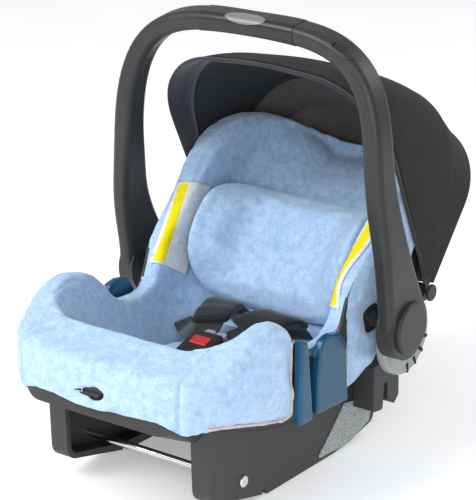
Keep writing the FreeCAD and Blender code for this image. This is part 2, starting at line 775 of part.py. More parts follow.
def canopy_layer(outer_inset, inner_inset):
    face = canopy_profile(outer_inset).cut(canopy_profile(inner_inset))
    axis_point = Vector(0, size("canopy_axis_y"), size("canopy_axis_z"))
    return face.revolve(axis_point, Vector(1, 0, 0), 360)


def pivot_ray(angle, reach, sideways=0.0):
    """A side-view point from the canopy's pivot, with a shift at right angles to the ray."""
    turn = math.radians(angle)
    y = size("canopy_pivot_y") + reach * math.cos(turn) - sideways * math.sin(turn)
    z = size("canopy_pivot_z") + reach * math.sin(turn) + sideways * math.cos(turn)
    return y, z


def wedge(low_angle, high_angle):
    """The region between two planes through the canopy's pivot."""
    points = [pivot_ray(low_angle, 0)]
    steps = 4
    for step in range(steps + 1):
        points.append(pivot_ray(low_angle + (high_angle - low_angle) * step / steps, 480.0))
    return prism([(y, z, 0.0) for y, z in points], -210, 210, "x")


def strip(angle, behind, ahead):
    """A flat band across the canopy beside a plane through its pivot."""
    corners = [pivot_ray(angle, -PIVOT_TAB, -behind), pivot_ray(angle, 480, -behind),
               pivot_ray(angle, 480, ahead), pivot_ray(angle, -PIVOT_TAB, ahead)]
    return prism([(y, z, 0.0) for y, z in corners], -210, 210, "x")


def tab(radius, low, high, side):
    start = Vector(side * low, size("canopy_pivot_y"), size("canopy_pivot_z"))
    return Part.makeCylinder(radius, high - low, start, Vector(side, 0, 0))


def pivot_holes(radius):
    return [tab(radius, 120, 200, side) for side in (-1, 1)]


def make_panel(label, low_angle, high_angle):
    """A stretch of the fabric, clear of the cover's rim and of the other stretch at the rib."""
    panel = canopy_layer(0.0, size("canopy_thickness")).common(wedge(low_angle, high_angle))
    panel = panel.cut(strip(RIB_ANGLE, 0.25, 0.25)).cut(cover_block)
    return solid_feature(label, panel.cut(pivot_holes(PIVOT_TAB + 1.0)))


def make_bow(label, angle, behind, ahead, outer_inset, thickness):
    """A flat plastic bow that holds the fabric up, with a round tab at each pivot."""
    layer = canopy_layer(outer_inset, outer_inset + thickness)
    bow = layer.common(strip(angle, behind, ahead))
    return solid_feature(label, bow.cut(pivot_holes(3.05)))


def make_knob(name, side):
    """The round knob and its pin, which the bows turn on."""
    pin = tab(3.0, 150, 170.5, side)
    head = tab(size("knob_radius"), 170.0, 170.0 + size("knob_depth"), side)
    outer = max(head.Edges, key=lambda edge: edge.CenterOfMass.x * side)
    return solid_feature(f"canopy_knob_{name}", head.makeFillet(1.5, [outer]).fuse(pin))


def make_boss(name, side):
    """The boss on the shell that carries the canopy's pivot."""
    boss = tab(10.0, 100, 161.5, side).cut(shell_keep_out.Shape)
    return solid_feature(f"canopy_boss_{name}", boss.cut(tab(3.05, 149.5, 165, side)))


def rib_room():
    """The space that the folding rib sweeps, out to the fabric, with room round it."""
    rib_inside = size("canopy_thickness") + RIB_INSET + RIB_THICKNESS + 3.0
    low = pivot_ray(RIB_ANGLE, PIVOT_TAB)
    high = pivot_ray(RIB_ANGLE, 480)
    points = [Vector(-210, *low), Vector(210, *low), Vector(210, *high), Vector(-210, *high)]
    plane = Part.Face(Part.makePolygon(points + points[:1]))
    section = plane.common(canopy_layer(0.0, rib_inside))
    pivot = Vector(0, size("canopy_pivot_y"), size("canopy_pivot_z"))
    section.rotate(pivot, Vector(1, 0, 0), 3.0)
    return section.revolve(pivot, Vector(-1, 0, 0), size("canopy_fold") + 6.0)


cover_block = tub(SHELL_STATIONS, SHELL_PLAN, -size("cover_wrap") - 0.8).common(below_rim(-1.0))
cover_feature.Shape = cover_feature.Shape.cut(rib_room())
kept.append(make_panel("canopy_rear_panel", HEM_ANGLE, RIB_ANGLE))
kept.append(make_panel("canopy_front_panel", RIB_ANGLE, HOOP_ANGLE))
kept.append(make_bow("canopy_hoop", HOOP_ANGLE, size("hoop_band"), 0.0, size("canopy_thickness") + 0.3,
                     size("hoop_thickness")))
kept.append(make_bow("canopy_rib", RIB_ANGLE, 5.0, 5.0, size("canopy_thickness") + RIB_INSET, RIB_THICKNESS))
for side_name, side_sign in SIDES:
    kept.append(make_knob(side_name, side_sign))
    kept.append(make_boss(side_name, side_sign))

# ---------------------------------------------------------------- insert, headrest, labels

INSERT_OUTLINE = ((-140, 127, 3), (-126, 131, 12), (-96, 134, 60), (-40, 124, 40), (0, 130, 20), (14, 134, 5),
                  (24, 116, 3), (0, 60, 0), (-150, 60, 0))
HEADREST_OUTLINE = ((-60, 0, 20), (60, 0, 20), (117, 60, 30), (118, 98, 9), (98, 100, 9), (84, 62, 22),
                    (58, 38, 20), (-58, 38, 20), (-84, 62, 22), (-98, 100, 9), (-118, 98, 9), (-117, 60, 30))
LABEL_OUTLINE = ((-44, 216, 2), (-26, 207, 2), (58, 290, 2), (26, 304, 2))


def make_insert():
    """The padded insert in the seat, resting on the cover's lining."""
    band = prism(INSERT_OUTLINE, -84, 84, "x")
    return solid_feature("seat_insert", band.common(tub(BOWL_STATIONS, bowl_plan(22.0), 1.0)))


headrest_tilt = FreeCAD.Rotation(Vector(1, 0, 0), size("back_angle") - 90)
headrest_place = FreeCAD.Placement(Vector(0, 47, 144.5), headrest_tilt)


def make_headrest_pad():
    """The padded headrest: a deep V across the seat, higher in the middle than at its wings."""
    wings = prism([(x, -height, radius) for x, height, radius in reversed(HEADREST_OUTLINE)], 4, 142, "z")
    middle_outline = ((-58, -38, 12), (58, -38, 12), (58, 0, 12), (-58, 0, 12))
    middle = prism(middle_outline, 0, size("headrest_length"), "z")
    return solid_feature("headrest_pad", wings.fuse(middle), headrest_place)


def make_headrest_plate():
    outline = ((-50, 0.4, 1), (50, 0.4, 1), (50, 3.4, 1), (-50, 3.4, 1))
    return solid_feature("headrest_plate", prism(outline, 8, 150, "z"), headrest_place)


kept.append(make_insert())
kept.append(make_headrest_pad())
kept.append(make_headrest_plate())
for side_name, side_sign in SIDES:
    kept.append(side_pad(f"side_label_{side_name}", side_sign, LABEL_OUTLINE, 128.0, 0.6))

# ---------------------------------------------------------------- harness

STRAP_LINE = ((31, 127), (8, 156), (-22, 164), (-54, 161.5), (-74.5, 157))
BUCKLE_TURN = 18.0
buckle_place = FreeCAD.Placement(Vector(0, -116, 150), FreeCAD.Rotation(Vector(1, 0, 0), BUCKLE_TURN))


def side_band(points, low, high, half_width):
    """A strap's solid across the seat: a band above a side-view line, from low to high over it."""
    upper = []
    lower = []
    for index, (y, z) in enumerate(points):
        before = points[max(index - 1, 0)]
        after = points[min(index + 1, len(points) - 1)]
        along = Vector(after[0] - before[0], after[1] - before[1], 0).normalize()
        normal = Vector(along.y, -along.x, 0)
        upper.append((y + normal.x * high, z + normal.y * high, 0.0))
        lower.append((y + normal.x * low, z + normal.y * low, 0.0))
    return prism(upper + list(reversed(lower)), -half_width, half_width, "x")


def strap_place(side):
    """Straps start apart at the back and meet at the buckle."""
    return FreeCAD.Placement(Vector(side * 50, 0, 0), FreeCAD.Rotation(Vector(0, 0, 1), -side * 12.0),
                             Vector(0, 31, 127))


def make_shoulder_strap(name, side):
    strap = side_band(STRAP_LINE, 0.0, size("strap_thickness"), size("strap_width") / 2)
    return solid_feature(f"shoulder_strap_{name}", strap, strap_place(side))


def make_shoulder_pad(name, side):
    low = size("strap_thickness") + 0.4
    high = low + size("shoulder_pad_thickness")
    band = side_band(STRAP_LINE[1:4], low, high, size("shoulder_pad_width") / 2)
    return solid_feature(f"shoulder_pad_{name}", band, strap_place(side))


def make_lap_strap(name, side):
    start = Vector(side * 84, -34, 134)
    end = Vector(side * 42, -84, 152)
    length = (end - start).Length
    along = Vector(end - start).normalize()
    sideways = Vector(0, 0, 1).cross(along).normalize()
    upwards = along.cross(sideways)
    box = Part.makeBox(length, 26, 2, Vector(0, -13, -1))
    rotation = FreeCAD.Rotation(along, sideways, upwards, "XYZ")
    return solid_feature(f"lap_strap_{name}", box, FreeCAD.Placement(start, rotation))


def make_buckle():
    """The buckle's body: a rounded block with a recess on top for the red button."""
    half_width = size("buckle_width") / 2
    outline = ((-half_width, -28, 9), (half_width, -28, 9), (half_width, 24, 5), (-half_width, 24, 5))
    block = prism(outline, -11, 11, "z")
    rim = [edge for edge in block.Edges if abs(edge.CenterOfMass.z - 11) < 1e-3]
    block = block.makeFillet(3.0, rim)
    recess = prism(((-13, -4, 2), (13, -4, 2), (13, 12, 2), (-13, 12, 2)), 0, 20, "z")
    throat = Part.makeBox(36, 14, 5, Vector(-18, 12.5, -6))
    return solid_feature("buckle_body", block.cut(recess).cut(throat), buckle_place)


def make_buckle_button():
    outline = ((-12.6, -3.6, 1.8), (12.6, -3.6, 1.8), (12.6, 11.6, 1.8), (-12.6, 11.6, 1.8))
    block = prism(outline, 5.5, 13, "z")
    rim = [edge for edge in block.Edges if abs(edge.CenterOfMass.z - 13) < 1e-3]
    return solid_feature("buckle_button", block.makeFillet(1.2, rim), buckle_place)


def make_tongue(name, side):
    """A tongue: a steel blade in the buckle's throat and a moulded loop for the straps."""
    blade = Part.makeBox(15, 18, 2.4, Vector(side * 9 - 7.5, 14, -4.6))
    loop = prism(((-16, 25, 4), (-1, 25, 3), (-1, 38, 4), (-16, 38, 4)), -7.5, 1.5, "z")
    if side > 0:
        loop = loop.mirror(Vector(0, 0, 0), Vector(1, 0, 0))
    return solid_feature(f"buckle_tongue_{name}", blade.fuse(loop), buckle_place)


def make_crotch_strap():
    box = Part.makeBox(30, 9.4, 2.4, Vector(-15, -37.8, -1.2))
    return solid_feature("crotch_strap", box, buckle_place)


def make_adjuster():
    """The harness adjuster under the front panel: an open housing and its press lever."""
    trough = Part.makeBox(34, 50, 12, Vector(-17, -299, 158.4))
    housing = Part.makeBox(40, 40, 16, Vector(-20, -294, 154)).cut(trough)
    body = solid_feature("adjuster_housing", housing)
    plate = Part.makeBox(30, 30, 2.5, Vector(-15, -287, 176))
    cam = Part.makeCylinder(4.0, 30, Vector(-15, -283, 173.5), Vector(1, 0, 0))
    pivot_bore = Part.makeCylinder(2.05, 40, Vector(-20, -283, 173.5), Vector(1, 0, 0))
    lever = solid_feature("adjuster_lever", plate.fuse(cam).cut(pivot_bore))
    pin = solid_feature("adjuster_pin", Part.makeCylinder(2.0, 34, Vector(-17, -283, 173.5), Vector(1, 0, 0)))
    strap = solid_feature("adjuster_strap", Part.makeBox(26, 66, 2.0, Vector(-13, -329, 160.8)))
    return [body, lever, pin, strap]


def make_splitter():
    """The steel plate under the back where the shoulder straps join one strap."""
    plate = prism(((-45, 0, 6), (45, 0, 6), (45, 34, 6), (-45, 34, 6)), 0, 2.5, "z")
    slots = [prism(((x - 20, 20, 2), (x + 20, 20, 2), (x + 20, 26, 2), (x - 20, 26, 2)), -1, 4, "z")
             for x in (-22, 22)]
    slots.append(prism(((-20, 7, 2), (20, 7, 2), (20, 13, 2), (-20, 13, 2)), -1, 4, "z"))
    place = FreeCAD.Placement(Vector(0, 118, 104), FreeCAD.Rotation(Vector(1, 0, 0), 38))
    return solid_feature("splitter_plate", plate.cut(slots), place)


for side_name, side_sign in SIDES:
    kept.append(make_shoulder_strap(side_name, side_sign))
    kept.append(make_shoulder_pad(side_name, side_sign))
    kept.append(make_lap_strap(side_name, side_sign))
    kept.append(make_tongue(side_name, side_sign))
kept += [make_buckle(), make_buckle_button(), make_crotch_strap(), make_splitter()]
kept += make_adjuster()

# ---------------------------------------------------------------- check and write

doc.recompute()
for item in doc.Objects:
    if "Invalid" in item.State or "Error" in item.State:
        raise RuntimeError(f"{item.Name} failed: {item.State}")
for piece in kept:
    shape = piece.Shape
    if shape.isNull() or not shape.isValid() or not shape.Solids:
        raise RuntimeError(f"{piece.Label} has no valid solid")
for piece in kept:
    piece.Shape.exportStep(f"parts/{piece.Label}.step")
print(len(kept), "nodes written")
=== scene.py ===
import json
import math

import bpy
import numpy as np
from mathutils import Matrix, Vector, noise
from mathutils.bvhtree import BVHTree


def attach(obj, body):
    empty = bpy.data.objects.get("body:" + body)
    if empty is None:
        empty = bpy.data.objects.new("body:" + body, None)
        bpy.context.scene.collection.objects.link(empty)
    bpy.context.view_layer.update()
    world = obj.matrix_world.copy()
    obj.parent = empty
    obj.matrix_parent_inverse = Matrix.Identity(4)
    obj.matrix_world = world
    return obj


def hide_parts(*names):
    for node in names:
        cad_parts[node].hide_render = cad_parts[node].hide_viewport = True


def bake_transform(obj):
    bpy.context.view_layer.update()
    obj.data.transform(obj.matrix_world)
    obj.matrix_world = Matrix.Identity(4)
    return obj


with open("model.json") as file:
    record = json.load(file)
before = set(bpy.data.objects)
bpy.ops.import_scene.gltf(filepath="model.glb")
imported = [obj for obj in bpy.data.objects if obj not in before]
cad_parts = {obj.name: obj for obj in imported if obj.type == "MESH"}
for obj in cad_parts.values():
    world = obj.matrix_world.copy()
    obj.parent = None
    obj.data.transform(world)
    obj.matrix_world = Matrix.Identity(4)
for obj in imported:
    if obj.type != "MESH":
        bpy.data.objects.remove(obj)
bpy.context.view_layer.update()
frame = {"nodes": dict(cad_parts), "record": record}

nodes = frame["nodes"]
scene = bpy.context.scene
MM = 0.001
SIDES = (("left", -1), ("right", 1))


# ---------------------------------------------------------------- camera, light, floor

CAMERA_TARGET = Vector((0.0, -38.86, 258.49)) * MM
CAMERA_AZIMUTH = math.radians(35.724)
CAMERA_ELEVATION = math.radians(18.709)
CAMERA_ROLL = math.radians(0.553)
CAMERA_DISTANCE = 2.4631
CAMERA_LENS = 143.2
SENSOR_WIDTH = 36.0


def make_camera():
    back = Vector((math.sin(CAMERA_AZIMUTH) * math.cos(CAMERA_ELEVATION),
                   -math.cos(CAMERA_AZIMUTH) * math.cos(CAMERA_ELEVATION),
                   math.sin(CAMERA_ELEVATION)))
    level = Vector((math.cos(CAMERA_AZIMUTH), math.sin(CAMERA_AZIMUTH), 0))
    upright = back.cross(level)
    right = level * math.cos(CAMERA_ROLL) + upright * math.sin(CAMERA_ROLL)
    up = upright * math.cos(CAMERA_ROLL) - level * math.sin(CAMERA_ROLL)
    data = bpy.data.cameras.new("camera")
    data.lens = CAMERA_LENS
    data.sensor_width = SENSOR_WIDTH
    data.sensor_fit = "AUTO"
    camera = bpy.data.objects.new("camera", data)
    place = Matrix((right, up, back)).transposed().to_4x4()
    place.translation = CAMERA_TARGET + back * CAMERA_DISTANCE
    camera.matrix_world = place
    scene.collection.objects.link(camera)
    scene.camera = camera


# Soft square lights: name, place in metres, width, power in watts, colour.
LIGHTS = (("key_light", (-1.1, -1.9, 1.9), 1.4, 50, (1.0, 0.99, 0.97)),
          ("fill_light", (1.5, -2.4, 1.3), 1.6, 30, (0.97, 0.98, 1.0)),
          ("rim_light", (1.4, 1.9, 1.9), 1.2, 16, (1.0, 1.0, 1.0)))
WORLD_COLOUR = (0.94, 0.97, 1.0, 1.0)
WORLD_STRENGTH = 0.6


def make_light(name, place, width, power, colour):
    data = bpy.data.lights.new(name, "AREA")
    data.shape = "SQUARE"
    data.size = width
    data.energy = power
    data.color = colour
    light = bpy.data.objects.new(name, data)
    light.location = place
    light.rotation_euler = (CAMERA_TARGET - Vector(place)).to_track_quat("-Z", "Y").to_euler()
    scene.collection.objects.link(light)


def make_studio():
    for light in LIGHTS:
        make_light(*light)
    world = bpy.data.worlds.new("studio")
    world.use_nodes = True
    backdrop = world.node_tree.nodes["Background"]
    backdrop.inputs["Color"].default_value = WORLD_COLOUR
    backdrop.inputs["Strength"].default_value = WORLD_STRENGTH
    scene.world = world
    scene.view_settings.view_transform = "Standard"


make_camera()
make_studio()


# ---------------------------------------------------------------- materials

def new_material(name):
    material = bpy.data.materials.new(name)
    material.use_nodes = True
    tree = material.node_tree
    shader = tree.nodes["Principled BSDF"]
    place = tree.nodes.new("ShaderNodeTexCoord").outputs["Object"]
    return material, tree, shader, place


def add_noise(tree, place, scale, detail=3.0, stretch=None):
    """A noise texture in metres; stretch scales its axes."""
    texture = tree.nodes.new("ShaderNodeTexNoise")
    texture.inputs["Scale"].default_value = scale
    texture.inputs["Detail"].default_value = detail
    if stretch is not None:
        mapping = tree.nodes.new("ShaderNodeMapping")
        mapping.inputs["Scale"].default_value = stretch
        tree.links.new(place, mapping.inputs["Vector"])
        place = mapping.outputs["Vector"]
    tree.links.new(place, texture.inputs["Vector"])
    return texture.outputs["Fac"]


def add_ramp(tree, value, stops):
    ramp = tree.nodes.new("ShaderNodeValToRGB")
    elements = ramp.color_ramp.elements
    elements[0].position = stops[0][0]
    elements[0].color = (*stops[0][1], 1.0)
    elements[1].position = stops[-1][0]
    elements[1].color = (*stops[-1][1], 1.0)
    for position, colour in stops[1:-1]:
        middle = elements.new(position)
        middle.color = (*colour, 1.0)
    tree.links.new(value, ramp.inputs["Fac"])
    return ramp.outputs["Color"]


def add_maths(tree, operation, first, second):
    node = tree.nodes.new("ShaderNodeMath")
    node.operation = operation
    for socket, value in zip(node.inputs, (first, second)):
        if isinstance(value, (int, float)):
            socket.default_value = value
        else:
            tree.links.new(value, socket)
    return node.outputs[0]


def add_bump(tree, shader, height, strength, distance):
    bump = tree.nodes.new("ShaderNodeBump")
    bump.inputs["Strength"].default_value = strength
    bump.inputs["Distance"].default_value = distance
    tree.links.new(height, bump.inputs["Height"])
    tree.links.new(bump.outputs["Normal"], shader.inputs["Normal"])


def mix_colours(tree, share, first, second):
    mix = tree.nodes.new("ShaderNodeMix")
    mix.data_type = "RGBA"
    for socket, value in ((mix.inputs[6], first), (mix.inputs[7], second)):
        if isinstance(value, tuple):
            socket.default_value = (*value, 1.0)
        else:
            tree.links.new(value, socket)
    tree.links.new(share, mix.inputs[0])
    return mix.outputs[2]


def average(tree, first, second, share):
    """This share of the first value, and the rest of the second."""
    return add_maths(tree, "ADD", add_maths(tree, "MULTIPLY", first, share),
                     add_maths(tree, "MULTIPLY", second, 1 - share))


def scaled(colour, factor):
    return tuple(channel * factor for channel in colour)


def plastic(name, colour, roughness, grain=0.25, coat=0.0, edge_wear_and_highlight=1.25, gloss=0.5):
    """Moulded plastic: fine grain, cloudy tone, and slightly paler edges that stand partly for wear and
    partly for a painted highlight where light catches them.
    """
    material, tree, shader, place = new_material(name)
    cloud = add_noise(tree, place, 18.0)
    body = add_ramp(tree, cloud, ((0.3, scaled(colour, 0.88)), (0.7, scaled(colour, 1.1))))
    geometry = tree.nodes.new("ShaderNodeNewGeometry")
    # Painted highlight and wear: sharp edges get a paler colour.
    rim_wear_and_highlight_mask = add_ramp(tree, geometry.outputs["Pointiness"], ((0.52, (0, 0, 0)), (0.62, (1, 1, 1))))
    wear_and_highlight_colour = mix_colours(tree, rim_wear_and_highlight_mask, body, scaled(colour, edge_wear_and_highlight))
    tree.links.new(wear_and_highlight_colour, shader.inputs["Base Color"])
    speckle = add_noise(tree, place, 900.0, 2.0)
    low = max(roughness - 0.06, 0.05)
    shine = tree.nodes.new("ShaderNodeMapRange")
    shine.inputs["To Min"].default_value = low
    shine.inputs["To Max"].default_value = roughness + 0.08
    tree.links.new(speckle, shine.inputs["Value"])
    tree.links.new(shine.outputs["Result"], shader.inputs["Roughness"])
    shader.inputs["Coat Weight"].default_value = coat
    shader.inputs["Specular IOR Level"].default_value = gloss
    shader.inputs["Coat Roughness"].default_value = 0.12
    add_bump(tree, shader, speckle, grain, 0.0004)
    return material


def terry(name, deep, pale):
    """Terry cloth: mottled loops with a soft nap."""
    material, tree, shader, place = new_material(name)
    loops = add_noise(tree, place, 420.0, 3.0)
    patches = add_noise(tree, place, 95.0, 4.0)
    tone = average(tree, loops, patches, 0.5)
    colour = add_ramp(tree, tone, ((0.32, deep), (0.68, pale)))
    tree.links.new(colour, shader.inputs["Base Color"])
    shader.inputs["Roughness"].default_value = 0.95
    shader.inputs["Sheen Weight"].default_value = 0.45
    shader.inputs["Sheen Roughness"].default_value = 0.5
    shader.inputs["Sheen Tint"].default_value = (0.85, 0.92, 1.0, 1.0)
    shader.inputs["Specular IOR Level"].default_value = 0.15
    add_bump(tree, shader, tone, 0.55, 0.0022)
    return material


def woven(name, colour, thread=900.0, sheen=0.3, roughness=0.8):
    """Woven cloth: threads along each axis, over a cloudy tone."""
    material, tree, shader, place = new_material(name)
    threads = []
    for axis in range(3):
        stretch = [0.06, 0.06, 0.06]
        stretch[axis] = 1.0
        threads.append(add_noise(tree, place, thread, 1.0, stretch))
    weave = add_maths(tree, "MAXIMUM", add_maths(tree, "MAXIMUM", threads[0], threads[1]), threads[2])
    shade = add_noise(tree, place, 14.0, 2.0)
    tone = average(tree, weave, shade, 0.6)
    cloth = add_ramp(tree, tone, ((0.35, scaled(colour, 0.7)), (0.7, scaled(colour, 1.35))))
    tree.links.new(cloth, shader.inputs["Base Color"])
    shader.inputs["Roughness"].default_value = roughness
    shader.inputs["Sheen Weight"].default_value = sheen
    shader.inputs["Specular IOR Level"].default_value = 0.25
    add_bump(tree, shader, weave, 0.35, 0.0006)
    return material


def metal(name, colour, roughness):
    material, tree, shader, place = new_material(name)
    scratches = add_noise(tree, place, 220.0, 4.0, (0.05, 1.0, 1.0))
    tone = add_ramp(tree, scratches, ((0.3, scaled(colour, 0.85)), (0.7, colour)))
    tree.links.new(tone, shader.inputs["Base Color"])
    shader.inputs["Metallic"].default_value = 1.0
    shader.inputs["Roughness"].default_value = roughness
    add_bump(tree, shader, scratches, 0.05, 0.0002)
    return material


def perforated(name, colour, hole_shade_colour):
    """Light grey moulding with rows of shallow dimples, each dimple darker as painted shade in its hollow."""
    material, tree, shader, place = new_material(name)
    cells = tree.nodes.new("ShaderNodeTexVoronoi")
    cells.inputs["Scale"].default_value = 190.0
    cells.inputs["Randomness"].default_value = 0.35
    tree.links.new(place, cells.inputs["Vector"])
    dimple_bump_and_shade = add_ramp(tree, cells.outputs["Distance"], ((0.2, (0, 0, 0)), (0.34, (1, 1, 1))))
    # Painted shade: the dimples' hollows are drawn darker.
    tone = mix_colours(tree, dimple_bump_and_shade, hole_shade_colour, colour)
    tree.links.new(tone, shader.inputs["Base Color"])
    shader.inputs["Roughness"].default_value = 0.55
    add_bump(tree, shader, dimple_bump_and_shade, 0.4, 0.0006)
    return material


def pale_floor(name):
    """A clouded near-white that gives off a little light, so that it shows as a pale studio sweep."""
    material, tree, shader, place = new_material(name)
    cloud = add_noise(tree, place, 3.0)
    tone = add_ramp(tree, cloud, ((0.3, (0.86, 0.86, 0.86)), (0.7, (0.9, 0.9, 0.9))))
    tree.links.new(tone, shader.inputs["Base Color"])
    shader.inputs["Roughness"].default_value = 0.6
    shader.inputs["Emission Color"].default_value = (1.0, 1.0, 1.0, 1.0)
    shader.inputs["Emission Strength"].default_value = 0.32
    return material


SHELL_GREY = (0.034, 0.034, 0.035)
HANDLE_GREY = (0.026, 0.026, 0.026)
mats = {
    "shell_plastic": plastic("shell_plastic", SHELL_GREY, 0.5, gloss=0.35),
    "handle_plastic": plastic("handle_plastic", HANDLE_GREY, 0.38, gloss=0.4),
    "grip_plastic": plastic("grip_plastic", (0.018, 0.018, 0.018), 0.32, grain=0.15, gloss=0.4),
    "grey_plastic": plastic("grey_plastic", (0.30, 0.315, 0.31), 0.45),
    "inlay_plastic": plastic("inlay_plastic", (0.19, 0.2, 0.2), 0.35, coat=0.2),
    "guide_blue": plastic("guide_blue", (0.008, 0.075, 0.155), 0.28, grain=0.08, coat=0.1, edge_wear_and_highlight=1.4,
                          gloss=0.35),
    # The liner's edge shows where the cover is cut out for the belt guides, so it has the cover's blue.
    "foam": plastic("foam", (0.36, 0.53, 0.76), 0.9, gloss=0.2),
    "cover_terry": terry("cover_terry", (0.26, 0.44, 0.70), (0.52, 0.67, 0.86)),
    "canopy_fabric": woven("canopy_fabric", (0.014, 0.014, 0.014), sheen=0.03),
    "canopy_lining": woven("canopy_lining", (0.105, 0.09, 0.076), sheen=0.1),
    "dark_lining": woven("dark_lining", (0.022, 0.023, 0.026), sheen=0.1),
    "visor_fabric": woven("visor_fabric", (0.024, 0.027, 0.033), sheen=0.25, roughness=0.6),
    "binding": woven("binding", (0.56, 0.47, 0.44), thread=1500.0),
    "webbing": woven("webbing", (0.009, 0.009, 0.011), thread=1400.0, roughness=0.55),
    "pad_fabric": woven("pad_fabric", (0.008, 0.009, 0.012), thread=1100.0, sheen=0.2),
    "buckle_black": plastic("buckle_black", (0.012, 0.012, 0.013), 0.35),
    "buckle_red": plastic("buckle_red", (0.55, 0.012, 0.01), 0.25, coat=0.4),
    "tongue_grey": plastic("tongue_grey", (0.23, 0.26, 0.3), 0.4),
    "steel": metal("steel", (0.78, 0.78, 0.76), 0.14),
    "label": woven("label", (0.72, 0.74, 0.76), thread=1600.0, sheen=0.1),
    "label_yellow": woven("label_yellow", (0.8, 0.68, 0.0), thread=1600.0, sheen=0.1),
    # Painted shade: near-black for slits, slots and gaps that fall in shadow.
    "gap_shade": plastic("gap_shade", (0.006, 0.006, 0.007), 0.8),
    "perforated": perforated("perforated", (0.36, 0.385, 0.38), (0.16, 0.17, 0.17)),
    "pale_floor": pale_floor("pale_floor"),
}


def set_material(piece, material):
    piece.data.materials.clear()
    piece.data.materials.append(mats[material])


def dress_cad_nodes():
    """Every CAD node takes the material of its slot in the record, except four that differ in looks."""
    slot_of = {entry["node"]: entry["material_slot"] for entry in frame["record"]["subparts"]}
    special = {"grip_inlay": "inlay_plastic", "button_bezel": "handle_plastic",
               "side_patch_left": "perforated", "side_patch_right": "perforated"}
    for name, node in nodes.items():
        set_material(node, special.get(name, slot_of[name]))


dress_cad_nodes()


# ---------------------------------------------------------------- mesh tools

def new_piece(name, mesh, material):
    piece = bpy.data.objects.new(name, mesh)
    scene.collection.objects.link(piece)
    set_material(piece, material)
    return piece


def mesh_from(name, points, faces):
    mesh = bpy.data.meshes.new(name)
    mesh.from_pydata([tuple(point) for point in points], [], faces)
    mesh.update()
    return mesh


def copy_of(node, name, material):
    return new_piece(name, nodes[node].data.copy(), material)


def settle(piece):
    """Applies the piece's modifiers."""
    bpy.context.view_layer.update()
    graph = bpy.context.evaluated_depsgraph_get()
    mesh = bpy.data.meshes.new_from_object(piece.evaluated_get(graph))
    piece.modifiers.clear()
    piece.data = mesh


def apply_modifier(piece, kind, **settings):
    modifier = piece.modifiers.new(kind.lower(), kind)
    for key, value in settings.items():
        setattr(modifier, key, value)
    settle(piece)


def remesh(piece, voxel):
    apply_modifier(piece, "REMESH", mode="VOXEL", voxel_size=voxel)


def shade_smooth(piece):
    for polygon in piece.data.polygons:
        polygon.use_smooth = True


def coordinates(mesh):
    values = np.zeros(len(mesh.vertices) * 3)
    mesh.vertices.foreach_get("co", values)
    return values.reshape(-1, 3)


def set_coordinates(mesh, values):
    mesh.vertices.foreach_set("co", values.ravel())
    mesh.update()


def normals(mesh):
    values = np.zeros(len(mesh.vertices) * 3)
    mesh.vertices.foreach_get("normal", values)
    return values.reshape(-1, 3)


def inflate(piece, cap, pressure=4.0, frames=20):
    """Blows the cloth up from inside, with no gravity, and keeps each point within cap of its start."""
    start = coordinates(piece.data)
    cloth = piece.modifiers.new("cloth", "CLOTH")
    cloth.settings.use_pressure = True
    cloth.settings.uniform_pressure_force = pressure
    cloth.settings.effector_weights.gravity = 0
    cloth.point_cache.frame_start = 1
    cloth.point_cache.frame_end = frames
    for number in range(1, frames + 1):
        scene.frame_set(number)
    settle(piece)
    scene.frame_set(1)
    shift = coordinates(piece.data) - start
    length = np.linalg.norm(shift, axis=1, keepdims=True)
    shift *= np.minimum(1.0, cap / np.maximum(length, 1e-9))
    set_coordinates(piece.data, start + shift)


def subdivide(piece, levels=1):
    apply_modifier(piece, "SUBSURF", levels=levels, render_levels=levels)


def distance_to_line(points, line):
    """Each point's distance to a polyline."""
    best = np.full(len(points), 1e9)
    for start, end in zip(line[:-1], line[1:]):
        along = end - start
        share = np.clip(((points - start) @ along) / (along @ along), 0, 1)
        gap = np.linalg.norm(points - start - share[:, None] * along, axis=1)
        best = np.minimum(best, gap)
    return best


def press_line(piece, line, width, depth):
    """Presses a groove of this half width along a polyline on the surface."""
    points = coordinates(piece.data)
    line = np.array(line, float)
    near = np.all((points > line.min(0) - 4 * width) & (points < line.max(0) + 4 * width), axis=1)
    share = np.exp(-(distance_to_line(points[near], line) / width) ** 2)
    points[near] -= normals(piece.data)[near] * (share * depth)[:, None]
    set_coordinates(piece.data, points)


def ripples(points, waves):
    """Noise at each point; each wave is a height in metres and a number of ripples per metre."""
    return np.array([sum(height * noise.noise(Vector(point) * rate) for height, rate in waves)
                     for point in points])


def tree_of(piece):
    return BVHTree.FromPolygons([vertex.co for vertex in piece.data.vertices],
                                [polygon.vertices for polygon in piece.data.polygons])


def cast(tree, origin, direction, lift=0.0):
    """The first point of the surface along a ray, lifted along the normal."""
    place, normal = tree.ray_cast(Vector(origin), Vector(direction))[:2]
    if place is None:
        return None
    return place + normal * lift


def smooth_line(points, steps=8):
    """A Catmull-Rom line through the points."""
    points = [Vector(point) for point in points]
    ends = [points[0] * 2 - points[1]] + points + [points[-1] * 2 - points[-2]]
    line = []
    for index in range(1, len(ends) - 2):
        p0, p1, p2, p3 = ends[index - 1:index + 3]
        for step in range(steps):
            t = step / steps
            line.append(0.5 * ((2 * p1) + (p2 - p0) * t + (2 * p0 - 5 * p1 + 4 * p2 - p3) * t * t
                               + (3 * p1 - p0 - 3 * p2 + p3) * t * t * t))
    line.append(points[-1])
    return line


def tube(name, line, radius, material):
    """A round piece along a line, as a curve."""
    data = bpy.data.curves.new(name, "CURVE")
    data.dimensions = "3D"
    data.bevel_depth = radius
    data.bevel_resolution = 3
    data.use_fill_caps = True
    spline = data.splines.new("POLY")
    spline.points.add(len(line) - 1)
    for point, place in zip(spline.points, line):
        point.co = (*place, 1.0)
    piece = bpy.data.objects.new(name, data)
    scene.collection.objects.link(piece)
    data.materials.append(mats[material])
    return piece


